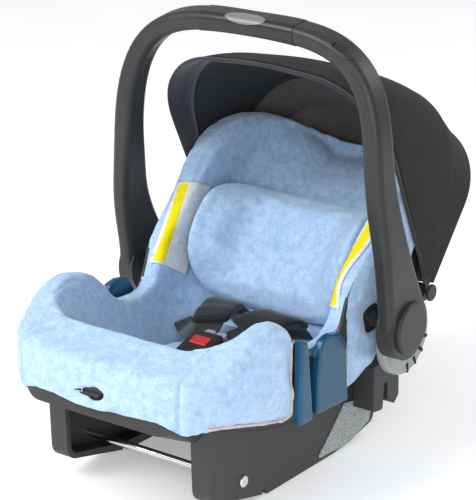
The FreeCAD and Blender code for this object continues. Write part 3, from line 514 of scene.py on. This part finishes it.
def grid_faces(rows, columns, closed=False):
    faces = []
    last = columns if closed else columns - 1
    for row in range(rows - 1):
        for column in range(last):
            after = (column + 1) % columns
            faces.append((row * columns + column, row * columns + after,
                          (row + 1) * columns + after, (row + 1) * columns + column))
    return faces


def loft(name, rings, material):
    """A closed tube through rings of equally many points."""
    count = len(rings[0])
    points = [point for ring in rings for point in ring]
    faces = grid_faces(len(rings), count, closed=True)
    faces.append(tuple(reversed(range(count))))
    faces.append(tuple(range((len(rings) - 1) * count, len(rings) * count)))
    piece = new_piece(name, mesh_from(name, points, faces), material)
    shade_smooth(piece)
    return piece


# ---------------------------------------------------------------- cover

COVER_VOXEL = 0.0045
HEM_DROP = 0.013
BINDING_RADIUS = 0.0021
SLIT_HALF_HEIGHT = 0.0016
COVER_WAVES = ((0.0011, 28.0), (0.0005, 75.0))
FOLD_HEIGHT = 0.0022
# The lower edge of the cover's front, from the feet end backwards: places along Y and heights, in metres.
HEM_Y = (-0.28, -0.24, -0.18, -0.146)
HEM_Z = (0.141, 0.136, 0.121, 0.112)
HEM_REACH = 0.05


def on_side(tree, sign, y, z, lift=0.0, start=0.26):
    """A point on the outside of the cover, found from the side."""
    return cast(tree, (sign * start, y * MM, z * MM), (-sign, 0, 0), lift)


def on_front(tree, x, z, lift=0.0):
    return cast(tree, (x * MM, -0.45, z * MM), (0, 1, 0), lift)


def on_top(tree, x, y, lift=0.0):
    return cast(tree, (x * MM, y * MM, 0.6), (0, 0, -1), lift)


def side_line(tree, sign, points, lift=0.0):
    line = [on_side(tree, sign, point.x / MM, point.y / MM, lift)
            for point in smooth_line([(y * MM, z * MM, 0) for y, z in points])]
    return [point for point in line if point is not None]


# Seen from the side, in millimetres: the edges of the cover beside the belt guides, and its hems.
GUIDE_FRONT_EDGE = ((-146, 103), (-147, 130), (-147, 160), (-146, 186), (-146, 206))
GUIDE_REAR_EDGE = ((-64, 199), (-42, 190), (-30, 165), (-25, 135), (-24, 108), (-24, 99))
REAR_HEM = ((-24, 99), (10, 95), (45, 97), (64, 109), (82, 148), (110, 218))
FRONT_HEM = ((-146, 105), (-180, 113), (-240, 128), (-280, 137))


def wrinkle(piece):
    """Soft folds in the cloth, deepest low on the sides behind the belt guides."""
    points = coordinates(piece.data)
    outward = normals(piece.data)
    shift = ripples(points, COVER_WAVES)
    y = points[:, 1]
    z = points[:, 2]
    outside = np.abs(points[:, 0]) > 0.150
    along = (y + 0.02) * 0.45 + (z - 0.10)
    low = np.exp(-((y - 0.012) / 0.05) ** 2) * np.exp(-((z - 0.15) / 0.06) ** 2)
    shift += np.where(outside, FOLD_HEIGHT * low * np.sin(along * 160.0), 0.0)
    set_coordinates(piece.data, points + outward * shift[:, None])


def lower_hem(piece):
    """Draws the front of the cover down over the shell, most at its lower edge."""
    points = coordinates(piece.data)
    y = points[:, 1]
    hem = np.interp(y, HEM_Y, HEM_Z)
    low = np.clip((hem + HEM_REACH - points[:, 2]) / HEM_REACH, 0, 1)
    outside = (np.abs(points[:, 0]) > 0.128) | (y < -0.285)
    sideways = np.clip((np.abs(points[:, 0]) - 0.09) / 0.04, 0, 1)
    share = np.where(outside & (y < -0.138), low ** 1.5 * sideways, 0.0)
    points[:, 2] -= HEM_DROP * share
    set_coordinates(piece.data, points)


def make_cover():
    cover = copy_of("seat_cover", "cover", "cover_terry")
    remesh(cover, COVER_VOXEL)
    apply_modifier(cover, "SMOOTH", factor=0.5, iterations=9)
    inflate(cover, 0.004)
    subdivide(cover)
    lower_hem(cover)
    wrinkle(cover)
    tree = tree_of(cover)
    for sign in (-1, 1):
        corner = [on_front(tree, sign * 117, z) for z in range(144, 226, 8)]
        press_line(cover, [point for point in corner if point], 0.0022, 0.0034)
        ridge = side_line(tree, sign, ((-262, 196), (-240, 211), (-212, 222), (-180, 222), (-152, 208)))
        press_line(cover, ridge, 0.0016, 0.0018)
        top = [on_top(tree, sign * x, y) for x, y in
               ((117, -292), (126, -262), (131, -230), (133, -198), (130, -168), (126, -146))]
        press_line(cover, [point for point in top if point], 0.0016, 0.0018)
    rim = [on_top(tree, x, -262) for x in range(-112, 113, 8)]
    press_line(cover, [point for point in rim if point], 0.0016, 0.0012)
    shade_smooth(cover)
    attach(cover, "seat")
    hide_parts("seat_cover")
    return cover


def make_bindings(cover):
    tree = tree_of(cover)
    for side, sign in SIDES:
        edges = {"guide_front": GUIDE_FRONT_EDGE, "guide_rear": GUIDE_REAR_EDGE, "rear_hem": REAR_HEM,
                 "front_hem": FRONT_HEM}
        for name, points in edges.items():
            line = side_line(tree, sign, points, 0.0008)
            if len(line) > 2:
                piece = tube(f"binding_{name}_{side}", line, BINDING_RADIUS, "binding")
                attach(piece, "seat")


def make_slit_shade(name, tree, points, half_height):
    """A near-black sheet of painted shade on the front of the cover, for the shadow in the strap's slit,
    through these points, of this half-height.
    """
    line = [point for point in (on_front(tree, x, z, 0.0004) for x, z in points) if point]
    rings = []
    for index, point in enumerate(line):
        share = index / (len(line) - 1)
        half = half_height * math.sqrt(max(1 - (2 * share - 1) ** 2, 0.02))
        rings.append([point + Vector((0, 0.0006 * math.sin(turn), half * math.cos(turn)))
                      for turn in (k * math.pi / 4 for k in range(8))])
    piece = loft(name, rings, "gap_shade")
    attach(piece, "seat")


cover = make_cover()
make_bindings(cover)
cover_tree = tree_of(cover)
# Painted shade: a dark sheet where the strap's slit falls in shadow.
slit_line = [(x, 163 - 0.05 * x + 1.2 * math.sin(x * 0.35)) for x in range(-20, 21, 2)]
make_slit_shade("strap_slit_shade", cover_tree, slit_line, SLIT_HALF_HEIGHT)


# ---------------------------------------------------------------- headrest, insert

HEADREST_FOOT = Vector((0.0, 0.047, 0.1445))
BACK_ANGLE = math.radians(50.0)
UP_BACK = Vector((0.0, math.cos(BACK_ANGLE), math.sin(BACK_ANGLE)))
OFF_BACK = Vector((0.0, -math.sin(BACK_ANGLE), math.cos(BACK_ANGLE)))
# Distance up the back in metres, then in millimetres the height of the middle, the height of the wings,
# the half-width, and half the gap between the wings.
HEADREST_SECTIONS = ((-0.004, 20, 24, 90, 62), (0.006, 32, 52, 106, 66), (0.022, 37, 80, 113, 68),
                     (0.045, 39, 94, 117, 70), (0.075, 39, 100, 118, 72), (0.105, 38, 99, 118, 71),
                     (0.128, 37, 90, 117, 69), (0.146, 35, 68, 113, 66), (0.159, 32, 40, 100, 62),
                     (0.167, 22, 24, 80, 56))
# The seam between the middle and a wing: distance up the back and from the mirror plane.
HEADREST_SEAM = ((0.012, 0.066), (0.05, 0.072), (0.09, 0.073), (0.13, 0.069), (0.155, 0.062))
SEAM_HEIGHT = 0.043
HEADREST_WAVES = ((0.0013, 24.0), (0.0004, 80.0))


def headrest_ring(along, middle, wing, half_width, apart):
    """One section across the headrest: flat behind, a hollow for the head between two rounded wings."""
    outline = ((0, 0), (half_width * 0.5, 0), (half_width * 0.74, 8), (half_width * 0.93, wing * 0.42),
               (half_width, wing * 0.72), (half_width - 1, wing * 0.93), (half_width - 8, wing),
               (half_width - 16, wing * 0.9), (apart + 16, (wing + middle) * 0.5), (apart, middle * 1.02),
               (apart * 0.6, middle * 0.92), (apart * 0.25, middle * 0.88))
    outline += tuple((-x, height) for x, height in reversed(outline[1:]))
    spots = [HEADREST_FOOT + UP_BACK * along + OFF_BACK * (height * MM) for x, height in outline]
    return [spot + Vector((x * MM, 0, 0)) for spot, (x, height) in zip(spots, outline)]


def make_headrest():
    rings = [headrest_ring(*section) for section in HEADREST_SECTIONS]
    headrest = loft("headrest", rings, "cover_terry")
    subdivide(headrest, 2)
    remesh(headrest, 0.0042)
    inflate(headrest, 0.005)
    apply_modifier(headrest, "SMOOTH", factor=0.5, iterations=6)
    subdivide(headrest)
    points = coordinates(headrest.data)
    outward = normals(headrest.data)
    set_coordinates(headrest.data, points + outward * ripples(points, HEADREST_WAVES)[:, None])
    for sign in (-1, 1):
        seam = [HEADREST_FOOT + UP_BACK * along + OFF_BACK * SEAM_HEIGHT + Vector((sign * across, 0, 0))
                for along, across in HEADREST_SEAM]
        press_line(headrest, seam, 0.0035, 0.0022)
    shade_smooth(headrest)
    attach(headrest, "headrest")
    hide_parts("headrest_pad")


def make_insert():
    insert = copy_of("seat_insert", "insert", "cover_terry")
    remesh(insert, 0.0045)
    apply_modifier(insert, "SMOOTH", factor=0.5, iterations=10)
    inflate(insert, 0.004)
    subdivide(insert)
    shade_smooth(insert)
    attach(insert, "seat")
    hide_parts("seat_insert")


make_headrest()
make_insert()


# ---------------------------------------------------------------- canopy

# In metres and degrees: the fold pivot, the axis of the canopy's arc, and the angles about the pivot.
PIVOT_Y = 0.145
PIVOT_Z = 0.187
AXIS_Y = 0.0215
AXIS_Z = 0.114
SHEET_HALF_WIDTH = 0.1692
RIB_ANGLE = 72.0
HOOP_ANGLE = 116.0
HEM_ANGLE = 50.0
TAB_RADIUS = 0.0135
# Across, distance from the canopy's axis, and corner radius, in metres.
CANOPY_OUTLINE = ((-SHEET_HALF_WIDTH, 0.118, 0.0), (-SHEET_HALF_WIDTH, 0.3635, 0.105), (0.0, 0.3765, 0.4),
                  (SHEET_HALF_WIDTH, 0.3635, 0.105), (SHEET_HALF_WIDTH, 0.118, 0.0))


def rounded_line(corners, spacing=0.009):
    """A polyline whose corners are arcs, with its points evenly spaced on the arcs."""
    line = []
    for index in range(1, len(corners) - 1):
        corner = Vector(corners[index][:2])
        back = (Vector(corners[index - 1][:2]) - corner).normalized()
        ahead = (Vector(corners[index + 1][:2]) - corner).normalized()
        radius = corners[index][2]
        half_turn = back.angle(ahead) / 2
        centre = corner + (back + ahead).normalized() * (radius / math.sin(half_turn))
        reach = radius / math.tan(half_turn)
        start = corner + back * reach - centre
        sweep = start.angle(corner + ahead * reach - centre)
        steps = max(int(radius * sweep / spacing), 2)
        for step in range(steps + 1):
            turn = -sweep * step / steps
            line.append(centre + Vector((start.x * math.cos(turn) - start.y * math.sin(turn),
                                         start.x * math.sin(turn) + start.y * math.cos(turn))))
    return line


CANOPY_ARCH = rounded_line(CANOPY_OUTLINE)


def along_ray(angle, reach):
    """How far a ray of this angle runs from the pivot to a circle of this radius about the canopy's axis."""
    ray = (math.cos(math.radians(angle)), math.sin(math.radians(angle)))
    offset = (PIVOT_Y - AXIS_Y, PIVOT_Z - AXIS_Z)
    dot = ray[0] * offset[0] + ray[1] * offset[1]
    return -dot + math.sqrt(dot * dot - offset[0] ** 2 - offset[1] ** 2 + reach * reach)


def canopy_point(angle, x, distance):
    turn = math.radians(angle)
    return Vector((x, PIVOT_Y + distance * math.cos(turn), PIVOT_Z + distance * math.sin(turn)))


def canopy_row(angle, inset=0.0, side_steps=14, low=TAB_RADIUS, sag=0.0):
    """Points across the canopy in a plane through its pivot, moved inwards by inset and by a sag."""
    count = len(CANOPY_ARCH)
    first = along_ray(angle, CANOPY_ARCH[0].y)
    wall = []
    for step in range(side_steps):
        wall.append(low + (first - low) * step / side_steps)
    side_x = SHEET_HALF_WIDTH - inset
    row = [canopy_point(angle, -side_x, distance) for distance in wall]
    for index, spot in enumerate(CANOPY_ARCH):
        before = CANOPY_ARCH[max(index - 1, 0)]
        after = CANOPY_ARCH[min(index + 1, count - 1)]
        along = (after - before).normalized()
        dip = inset + sag * (1 - (spot.x / SHEET_HALF_WIDTH) ** 4)
        moved = spot + Vector((along.y, -along.x)) * dip
        row.append(canopy_point(angle, moved.x, along_ray(angle, moved.y)))
    return row + [canopy_point(angle, side_x, distance) for distance in reversed(wall)]


def make_panel(name, rows, lining, node):
    """A sheet of the canopy through these rows: black outside, with a lining."""
    count = len(rows[0])
    points = [point for row in rows for point in row]
    faces = [tuple(reversed(face)) for face in grid_faces(len(rows), count)]
    panel = new_piece(name, mesh_from(name, points, faces), "canopy_fabric")
    panel.data.materials.append(mats[lining])
    apply_modifier(panel, "SOLIDIFY", thickness=0.0016, offset=-1.0, material_offset=1)
    shade_smooth(panel)
    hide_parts(node)
    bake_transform(panel)


def span_rows(first_angle, last_angle, sag, columns=30):
    rows = []
    for index in range(columns):
        share = index / (columns - 1)
        angle = first_angle + (last_angle - first_angle) * share
        rows.append(canopy_row(angle, sag=sag * math.sin(math.pi * share) ** 0.8))
    return rows


def skirt_rows(hem, count=7):
    """Rows from just outside the cover's rim up to the canopy's hem."""
    centre = Vector((0, 0.10, 0))
    foot = []
    for point in hem:
        inward = Vector((centre.x - point.x * 0.9, centre.y - point.y, 0)).normalized()
        drop = min(0.075, max(point.z - 0.20, 0.0) * 0.62)
        start = Vector((point.x, point.y, point.z - drop))
        place = cast(cover_tree, start - inward * 0.08, inward, 0.004)
        near = place is not None and (place - start).length < 0.07
        foot.append(place if near else start + inward * 0.045)
    rows = []
    for index in range(count):
        share = index / count
        rows.append([low.lerp(high, share) for low, high in zip(foot, hem)])
    return rows


front_rows = span_rows(RIB_ANGLE, HOOP_ANGLE - 1.0, 0.005)
rear_rows = span_rows(HEM_ANGLE, RIB_ANGLE, 0.006)
make_panel("canopy_front", front_rows, "dark_lining",
           "canopy_front_panel")
make_panel("canopy_rear", skirt_rows(rear_rows[0]) + rear_rows, "canopy_lining",
           "canopy_rear_panel")


# The visor's section: degrees past the hoop, and metres out from the canopy's outline.
VISOR_SECTION = ((0.0, 0.0015), (1.2, -0.0012), (0.6, -0.0036), (-0.8, -0.0046), (-2.4, -0.0050),
                 (-4.0, -0.0062), (-4.6, -0.0076), (-5.4, -0.0078), (-7.2, -0.0064), (-9.4, -0.0060),
                 (-9.4, -0.0048), (-5.0, -0.0034), (-1.0, -0.0012))
VISOR_LOW = 0.012


def make_visor():
    """The hoop's broad band: a rolled front edge, a lip and a ridge, inside the front of the canopy."""
    rows = [canopy_row(HOOP_ANGLE + angle, -out, low=VISOR_LOW) for angle, out in VISOR_SECTION]
    piece = loft("canopy_visor", [list(column) for column in zip(*rows)], "visor_fabric")
    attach(piece, "canopy_hoop")
    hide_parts("canopy_hoop")


make_visor()


# ---------------------------------------------------------------- harness

# Shoulder straps and lap straps from their anchors to the buckle, in millimetres, on the right-hand side.
SHOULDER_ROUTE = ((50, 31, 130), (47, 18, 148), (43, -6, 163), (35, -36, 165), (27, -62, 160), (20, -80, 156))
LAP_ROUTE = ((104, -16, 136), (84, -34, 136), (62, -60, 146), (42, -78, 152), (22, -86, 155))
SHOULDER_WIDTH = 0.036
LAP_WIDTH = 0.025
WEBBING_THICKNESS = 0.0018
PAD_WIDTH = 0.052
PAD_THICKNESS = 0.012
PAD_LIFT = 0.0055
PAD_WAVES = ((0.0008, 60.0),)
# Half of the webbing's section across its width and thickness, with thicker edges.
WEBBING_SECTION = ((-1, -0.5), (-0.96, -1), (-0.9, -0.8), (0, -1), (0.9, -0.8), (0.96, -1), (1, -0.5),
                   (1, 0.5), (0.96, 1), (0.9, 0.8), (0, 1), (-0.9, 0.8), (-0.96, 1), (-1, 0.5))


def directions(line, index, across):
    """At a point of a strap's line: across its width, and off its face."""
    before = line[max(index - 1, 0)]
    after = line[min(index + 1, len(line) - 1)]
    along = (after - before).normalized()
    side = (across - along * across.dot(along)).normalized()
    return side, side.cross(along)


def ribbon(name, line, across, width):
    """Flat webbing along a line, with its width towards across."""
    rings = []
    for index, point in enumerate(line):
        side, up = directions(line, index, across)
        rings.append([point + side * (u * width / 2) + up * (v * WEBBING_THICKNESS / 2)
                      for u, v in WEBBING_SECTION])
    return loft(name, rings, "webbing")


def make_pad(name, line, across):
    """A soft pad round the webbing, crowned across and along."""
    rings = []
    count = len(line)
    for index, point in enumerate(line):
        side, up = directions(line, index, across)
        share = index / (count - 1)
        end = min(1.0, 0.35 + 3.2 * math.sqrt(max(share * (1 - share), 0.0)))
        narrow = min(1.0, 0.86 + 1.1 * math.sqrt(max(share * (1 - share), 0.0)))
        ring = []
        for step in range(28):
            turn = 2 * math.pi * step / 28
            u = math.copysign(abs(math.cos(turn)) ** 0.45, math.cos(turn))
            v = math.copysign(abs(math.sin(turn)) ** 0.8, math.sin(turn))
            crease = 1 - 0.12 * math.exp(-((abs(u) - 0.86) / 0.05) ** 2)
            half_width = u * PAD_WIDTH / 2 * narrow
            half_thickness = v * PAD_THICKNESS / 2 * end * crease
            ring.append(point + side * half_width + up * half_thickness)
        rings.append(ring)
    piece = loft(name, rings, "pad_fabric")
    points = coordinates(piece.data)
    outward = normals(piece.data)
    set_coordinates(piece.data, points + outward * ripples(points, PAD_WAVES)[:, None])
    return piece


def make_harness():
    for side, sign in SIDES:
        route = [Vector((sign * x, y, z)) * MM for x, y, z in SHOULDER_ROUTE]
        across = Vector((1, sign * 0.18, 0))
        strap = ribbon(f"harness_strap_{side}", smooth_line(route, 6), across, SHOULDER_WIDTH)
        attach(strap, "seat")
        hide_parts(f"shoulder_strap_{side}")
        pad_route = smooth_line([point + Vector((0, 0, PAD_LIFT)) for point in route[1:5]], 8)
        pad = make_pad(f"harness_pad_{side}", pad_route, Vector((1, sign * 0.18, -sign * 0.1)))
        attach(pad, "seat")
        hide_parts(f"shoulder_pad_{side}")
        lap_route = smooth_line([Vector((sign * x, y, z)) * MM for x, y, z in LAP_ROUTE], 6)
        lap_piece = ribbon(f"harness_lap_{side}", lap_route, Vector((0, 1, 0.3)), LAP_WIDTH)
        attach(lap_piece, "seat")
        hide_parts(f"lap_strap_{side}")


make_harness()


# ---------------------------------------------------------------- labels

# The right-hand label's corners in millimetres: lower and upper, along the rim and then on the inner wall.
LABEL_RIM = (Vector((142, -35, 212)), Vector((149, 35, 302)))
LABEL_WALL = (Vector((127, 22, 181)), Vector((131, 82, 287)))
LABEL_ROWS = 40
LABEL_COLUMNS = 14
BAND_COLUMNS = (1, 3)


def make_label(side, sign):
    """A blank woven label from the cover's rim down its inner side, with a yellow band along the rim."""
    rows = LABEL_ROWS
    columns = LABEL_COLUMNS
    outwards = Vector((-sign * 0.62, -0.62, 0.48)).normalized()
    points = []
    for row in range(rows):
        share = row / (rows - 1)
        rim = LABEL_RIM[0].lerp(LABEL_RIM[1], share)
        wall = LABEL_WALL[0].lerp(LABEL_WALL[1], share)
        for column in range(columns):
            spot = rim.lerp(wall, column / (columns - 1)) * MM
            spot.x *= sign
            place = cast(cover_tree, spot + outwards * 0.05, -outwards, 0.0016)
            points.append(place if place is not None else spot)
    mesh = mesh_from(f"label_{side}", points, grid_faces(rows, columns))
    label = new_piece(f"label_{side}", mesh, "label")
    label.data.materials.append(mats["label_yellow"])
    for index, polygon in enumerate(label.data.polygons):
        row, column = divmod(index, columns - 1)
        if BAND_COLUMNS[0] <= column <= BAND_COLUMNS[1] and 1 <= row < rows - 2:
            polygon.material_index = 1
    apply_modifier(label, "SOLIDIFY", thickness=0.0006, offset=0.0)
    shade_smooth(label)
    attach(label, "seat")
    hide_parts(f"side_label_{side}")


for side_name, side_sign in SIDES:
    make_label(side_name, side_sign)


# ---------------------------------------------------------------- belt guides

GUIDE_INNER = 0.1562
GUIDE_OUTER = 0.1685
SADDLE_OUTER = GUIDE_INNER + 0.0045
SLOT_INNER = GUIDE_INNER + 0.0002
SLOT_OUTER = GUIDE_INNER + 0.002
# Side views in millimetres of the guide's two pillars, the saddle between them and a near-black sheet of
# painted shade in the slot between them.
FRONT_PILLAR = ((-144, 101), (-116, 101), (-119, 130), (-124, 165), (-127, 190), (-131, 205), (-144, 208))
REAR_PILLAR = ((-108, 104), (-40, 101), (-44, 150), (-49, 178), (-62, 195), (-80, 198), (-96, 195),
               (-104, 184), (-108, 150))
SADDLE = ((-142, 204), (-134, 180), (-120, 178), (-104, 176), (-60, 170), (-52, 182), (-80, 196), (-104, 188),
          (-120, 189), (-132, 203))
SLOT_SHADE_OUTLINE = ((-132, 103), (-96, 103), (-96, 184), (-132, 184))


def slab(outline, inner, outer):
    """Points and faces of a flat piece beside the shell, between two distances from the middle."""
    count = len(outline)
    points = [(x, y * MM, z * MM) for x in (inner, outer) for y, z in outline]
    faces = [tuple(range(count)), tuple(reversed(range(count, 2 * count)))]
    for index in range(count):
        after = (index + 1) % count
        faces.append((index, index + count, after + count, after))
    return points, faces


def make_guides():
    """Two rounded pillars joined by a saddle, which hold the car's lap belt, and a near-black sheet of
    painted shade in the slot between them.
    """
    for side, sign in SIDES:
        points = []
        faces = []
        parts = ((FRONT_PILLAR, GUIDE_INNER, GUIDE_OUTER), (REAR_PILLAR, GUIDE_INNER, GUIDE_OUTER),
                 (SADDLE, GUIDE_INNER, SADDLE_OUTER))
        for outline, inner, outer in parts:
            part_points, part_faces = slab(outline, sign * inner, sign * outer)
            offset = len(points)
            points += part_points
            faces += [tuple(index + offset for index in face) for face in part_faces]
        guide = new_piece(f"guide_{side}", mesh_from(f"guide_{side}", points, faces), "guide_blue")
        remesh(guide, 0.0014)
        apply_modifier(guide, "SMOOTH", factor=0.5, iterations=22)
        subdivide(guide)
        shade_smooth(guide)
        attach(guide, "seat")
        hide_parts(f"belt_guide_{side}")
        # Painted shade: a dark sheet at the back of the slot between the pillars.
        shade_points, shade_faces = slab(SLOT_SHADE_OUTLINE, sign * SLOT_INNER, sign * SLOT_OUTER)
        shade_mesh = mesh_from(f"guide_slot_shade_{side}", shade_points, shade_faces)
        back = new_piece(f"guide_slot_shade_{side}", shade_mesh, "gap_shade")
        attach(back, "seat")


make_guides()


# ---------------------------------------------------------------- rings at the hubs

RING_CENTRE = Vector((0.0, 0.064, 0.158))
HUB_CENTRE = Vector((0.0, 0.0265, 0.1845))
RING_SLOTS = (-84.0, -62.0, -40.0, -18.0)
# Distance out from the mirror plane and radius, in millimetres.
PLATE_PROFILE = ((172.4, 12), (172.4, 49.5), (173.2, 51.5), (175, 52), (183, 52), (185, 51.3), (185.8, 49.5),
                 (185.9, 47), (185.2, 45.8), (185.2, 40), (185.9, 38.8), (185.9, 12))
NECK_PROFILE = ((157.5, 10.5), (160, 10), (172, 10), (173, 12), (185.9, 12))
# A slot's half-width at each radius, and its section: share of the half-width, and distance out.
SLOT_LENGTHWISE = ((39.5, 1.6), (40.5, 2.4), (47, 2.6), (51.2, 2.6), (52.3, 2.2))
SLOT_SECTION = ((-1, 176), (-1, 185.6), (-0.6, 186.1), (0.6, 186.1), (1, 185.6), (1, 176))


def turned(name, profile, centre, sign, material, steps=96):
    """A round piece about an axis across the seat, from its profile of distances out and radii."""
    rings = []
    for out, radius in profile:
        ring = []
        for step in range(steps):
            turn = 2 * math.pi * step / steps * sign
            spoke = Vector((sign * out, radius * math.cos(turn), radius * math.sin(turn)))
            ring.append(centre + spoke * MM)
        rings.append(ring)
    return loft(name, rings, material)


def make_rings():
    """A pale grey round plate on a dark neck, with four slots across its lower edge drawn as near-black
    sheets of painted shade.
    """
    for side, sign in SIDES:
        ring = turned(f"ring_{side}", PLATE_PROFILE, RING_CENTRE, sign, "grey_plastic")
        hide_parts(f"adapter_ring_{side}")
        parts = [ring, turned(f"ring_neck_{side}", NECK_PROFILE, HUB_CENTRE, sign, "shell_plastic")]
        # Painted shade: near-black sheets in the plate's slots.
        for number, turn in enumerate(RING_SLOTS, start=1):
            angle = math.radians(turn)
            outwards = Vector((0, math.cos(angle), math.sin(angle)))
            around = Vector((0, -math.sin(angle), math.cos(angle)))
            rings = []
            for reach, half in SLOT_LENGTHWISE:
                middle = RING_CENTRE + outwards * reach * MM
                rings.append([middle + around * u * half * MM + Vector((sign * out * MM, 0, 0))
                              for u, out in SLOT_SECTION])
            parts.append(loft(f"ring_slot_shade_{number}_{side}", rings, "gap_shade"))
        for part in parts:
            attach(part, "seat")


make_rings()


# ---------------------------------------------------------------- floor

FLOOR_HALF = 4.0
FLOOR_GAP = 0.0005


def make_floor():
    corners = [(u * FLOOR_HALF, v * FLOOR_HALF, 0) for u, v in ((-1, -1), (1, -1), (1, 1), (-1, 1))]
    floor = new_piece("floor", mesh_from("floor", corners, [(0, 1, 2, 3)]), "pale_floor")
    floor.location.z = -FLOOR_GAP


make_floor()
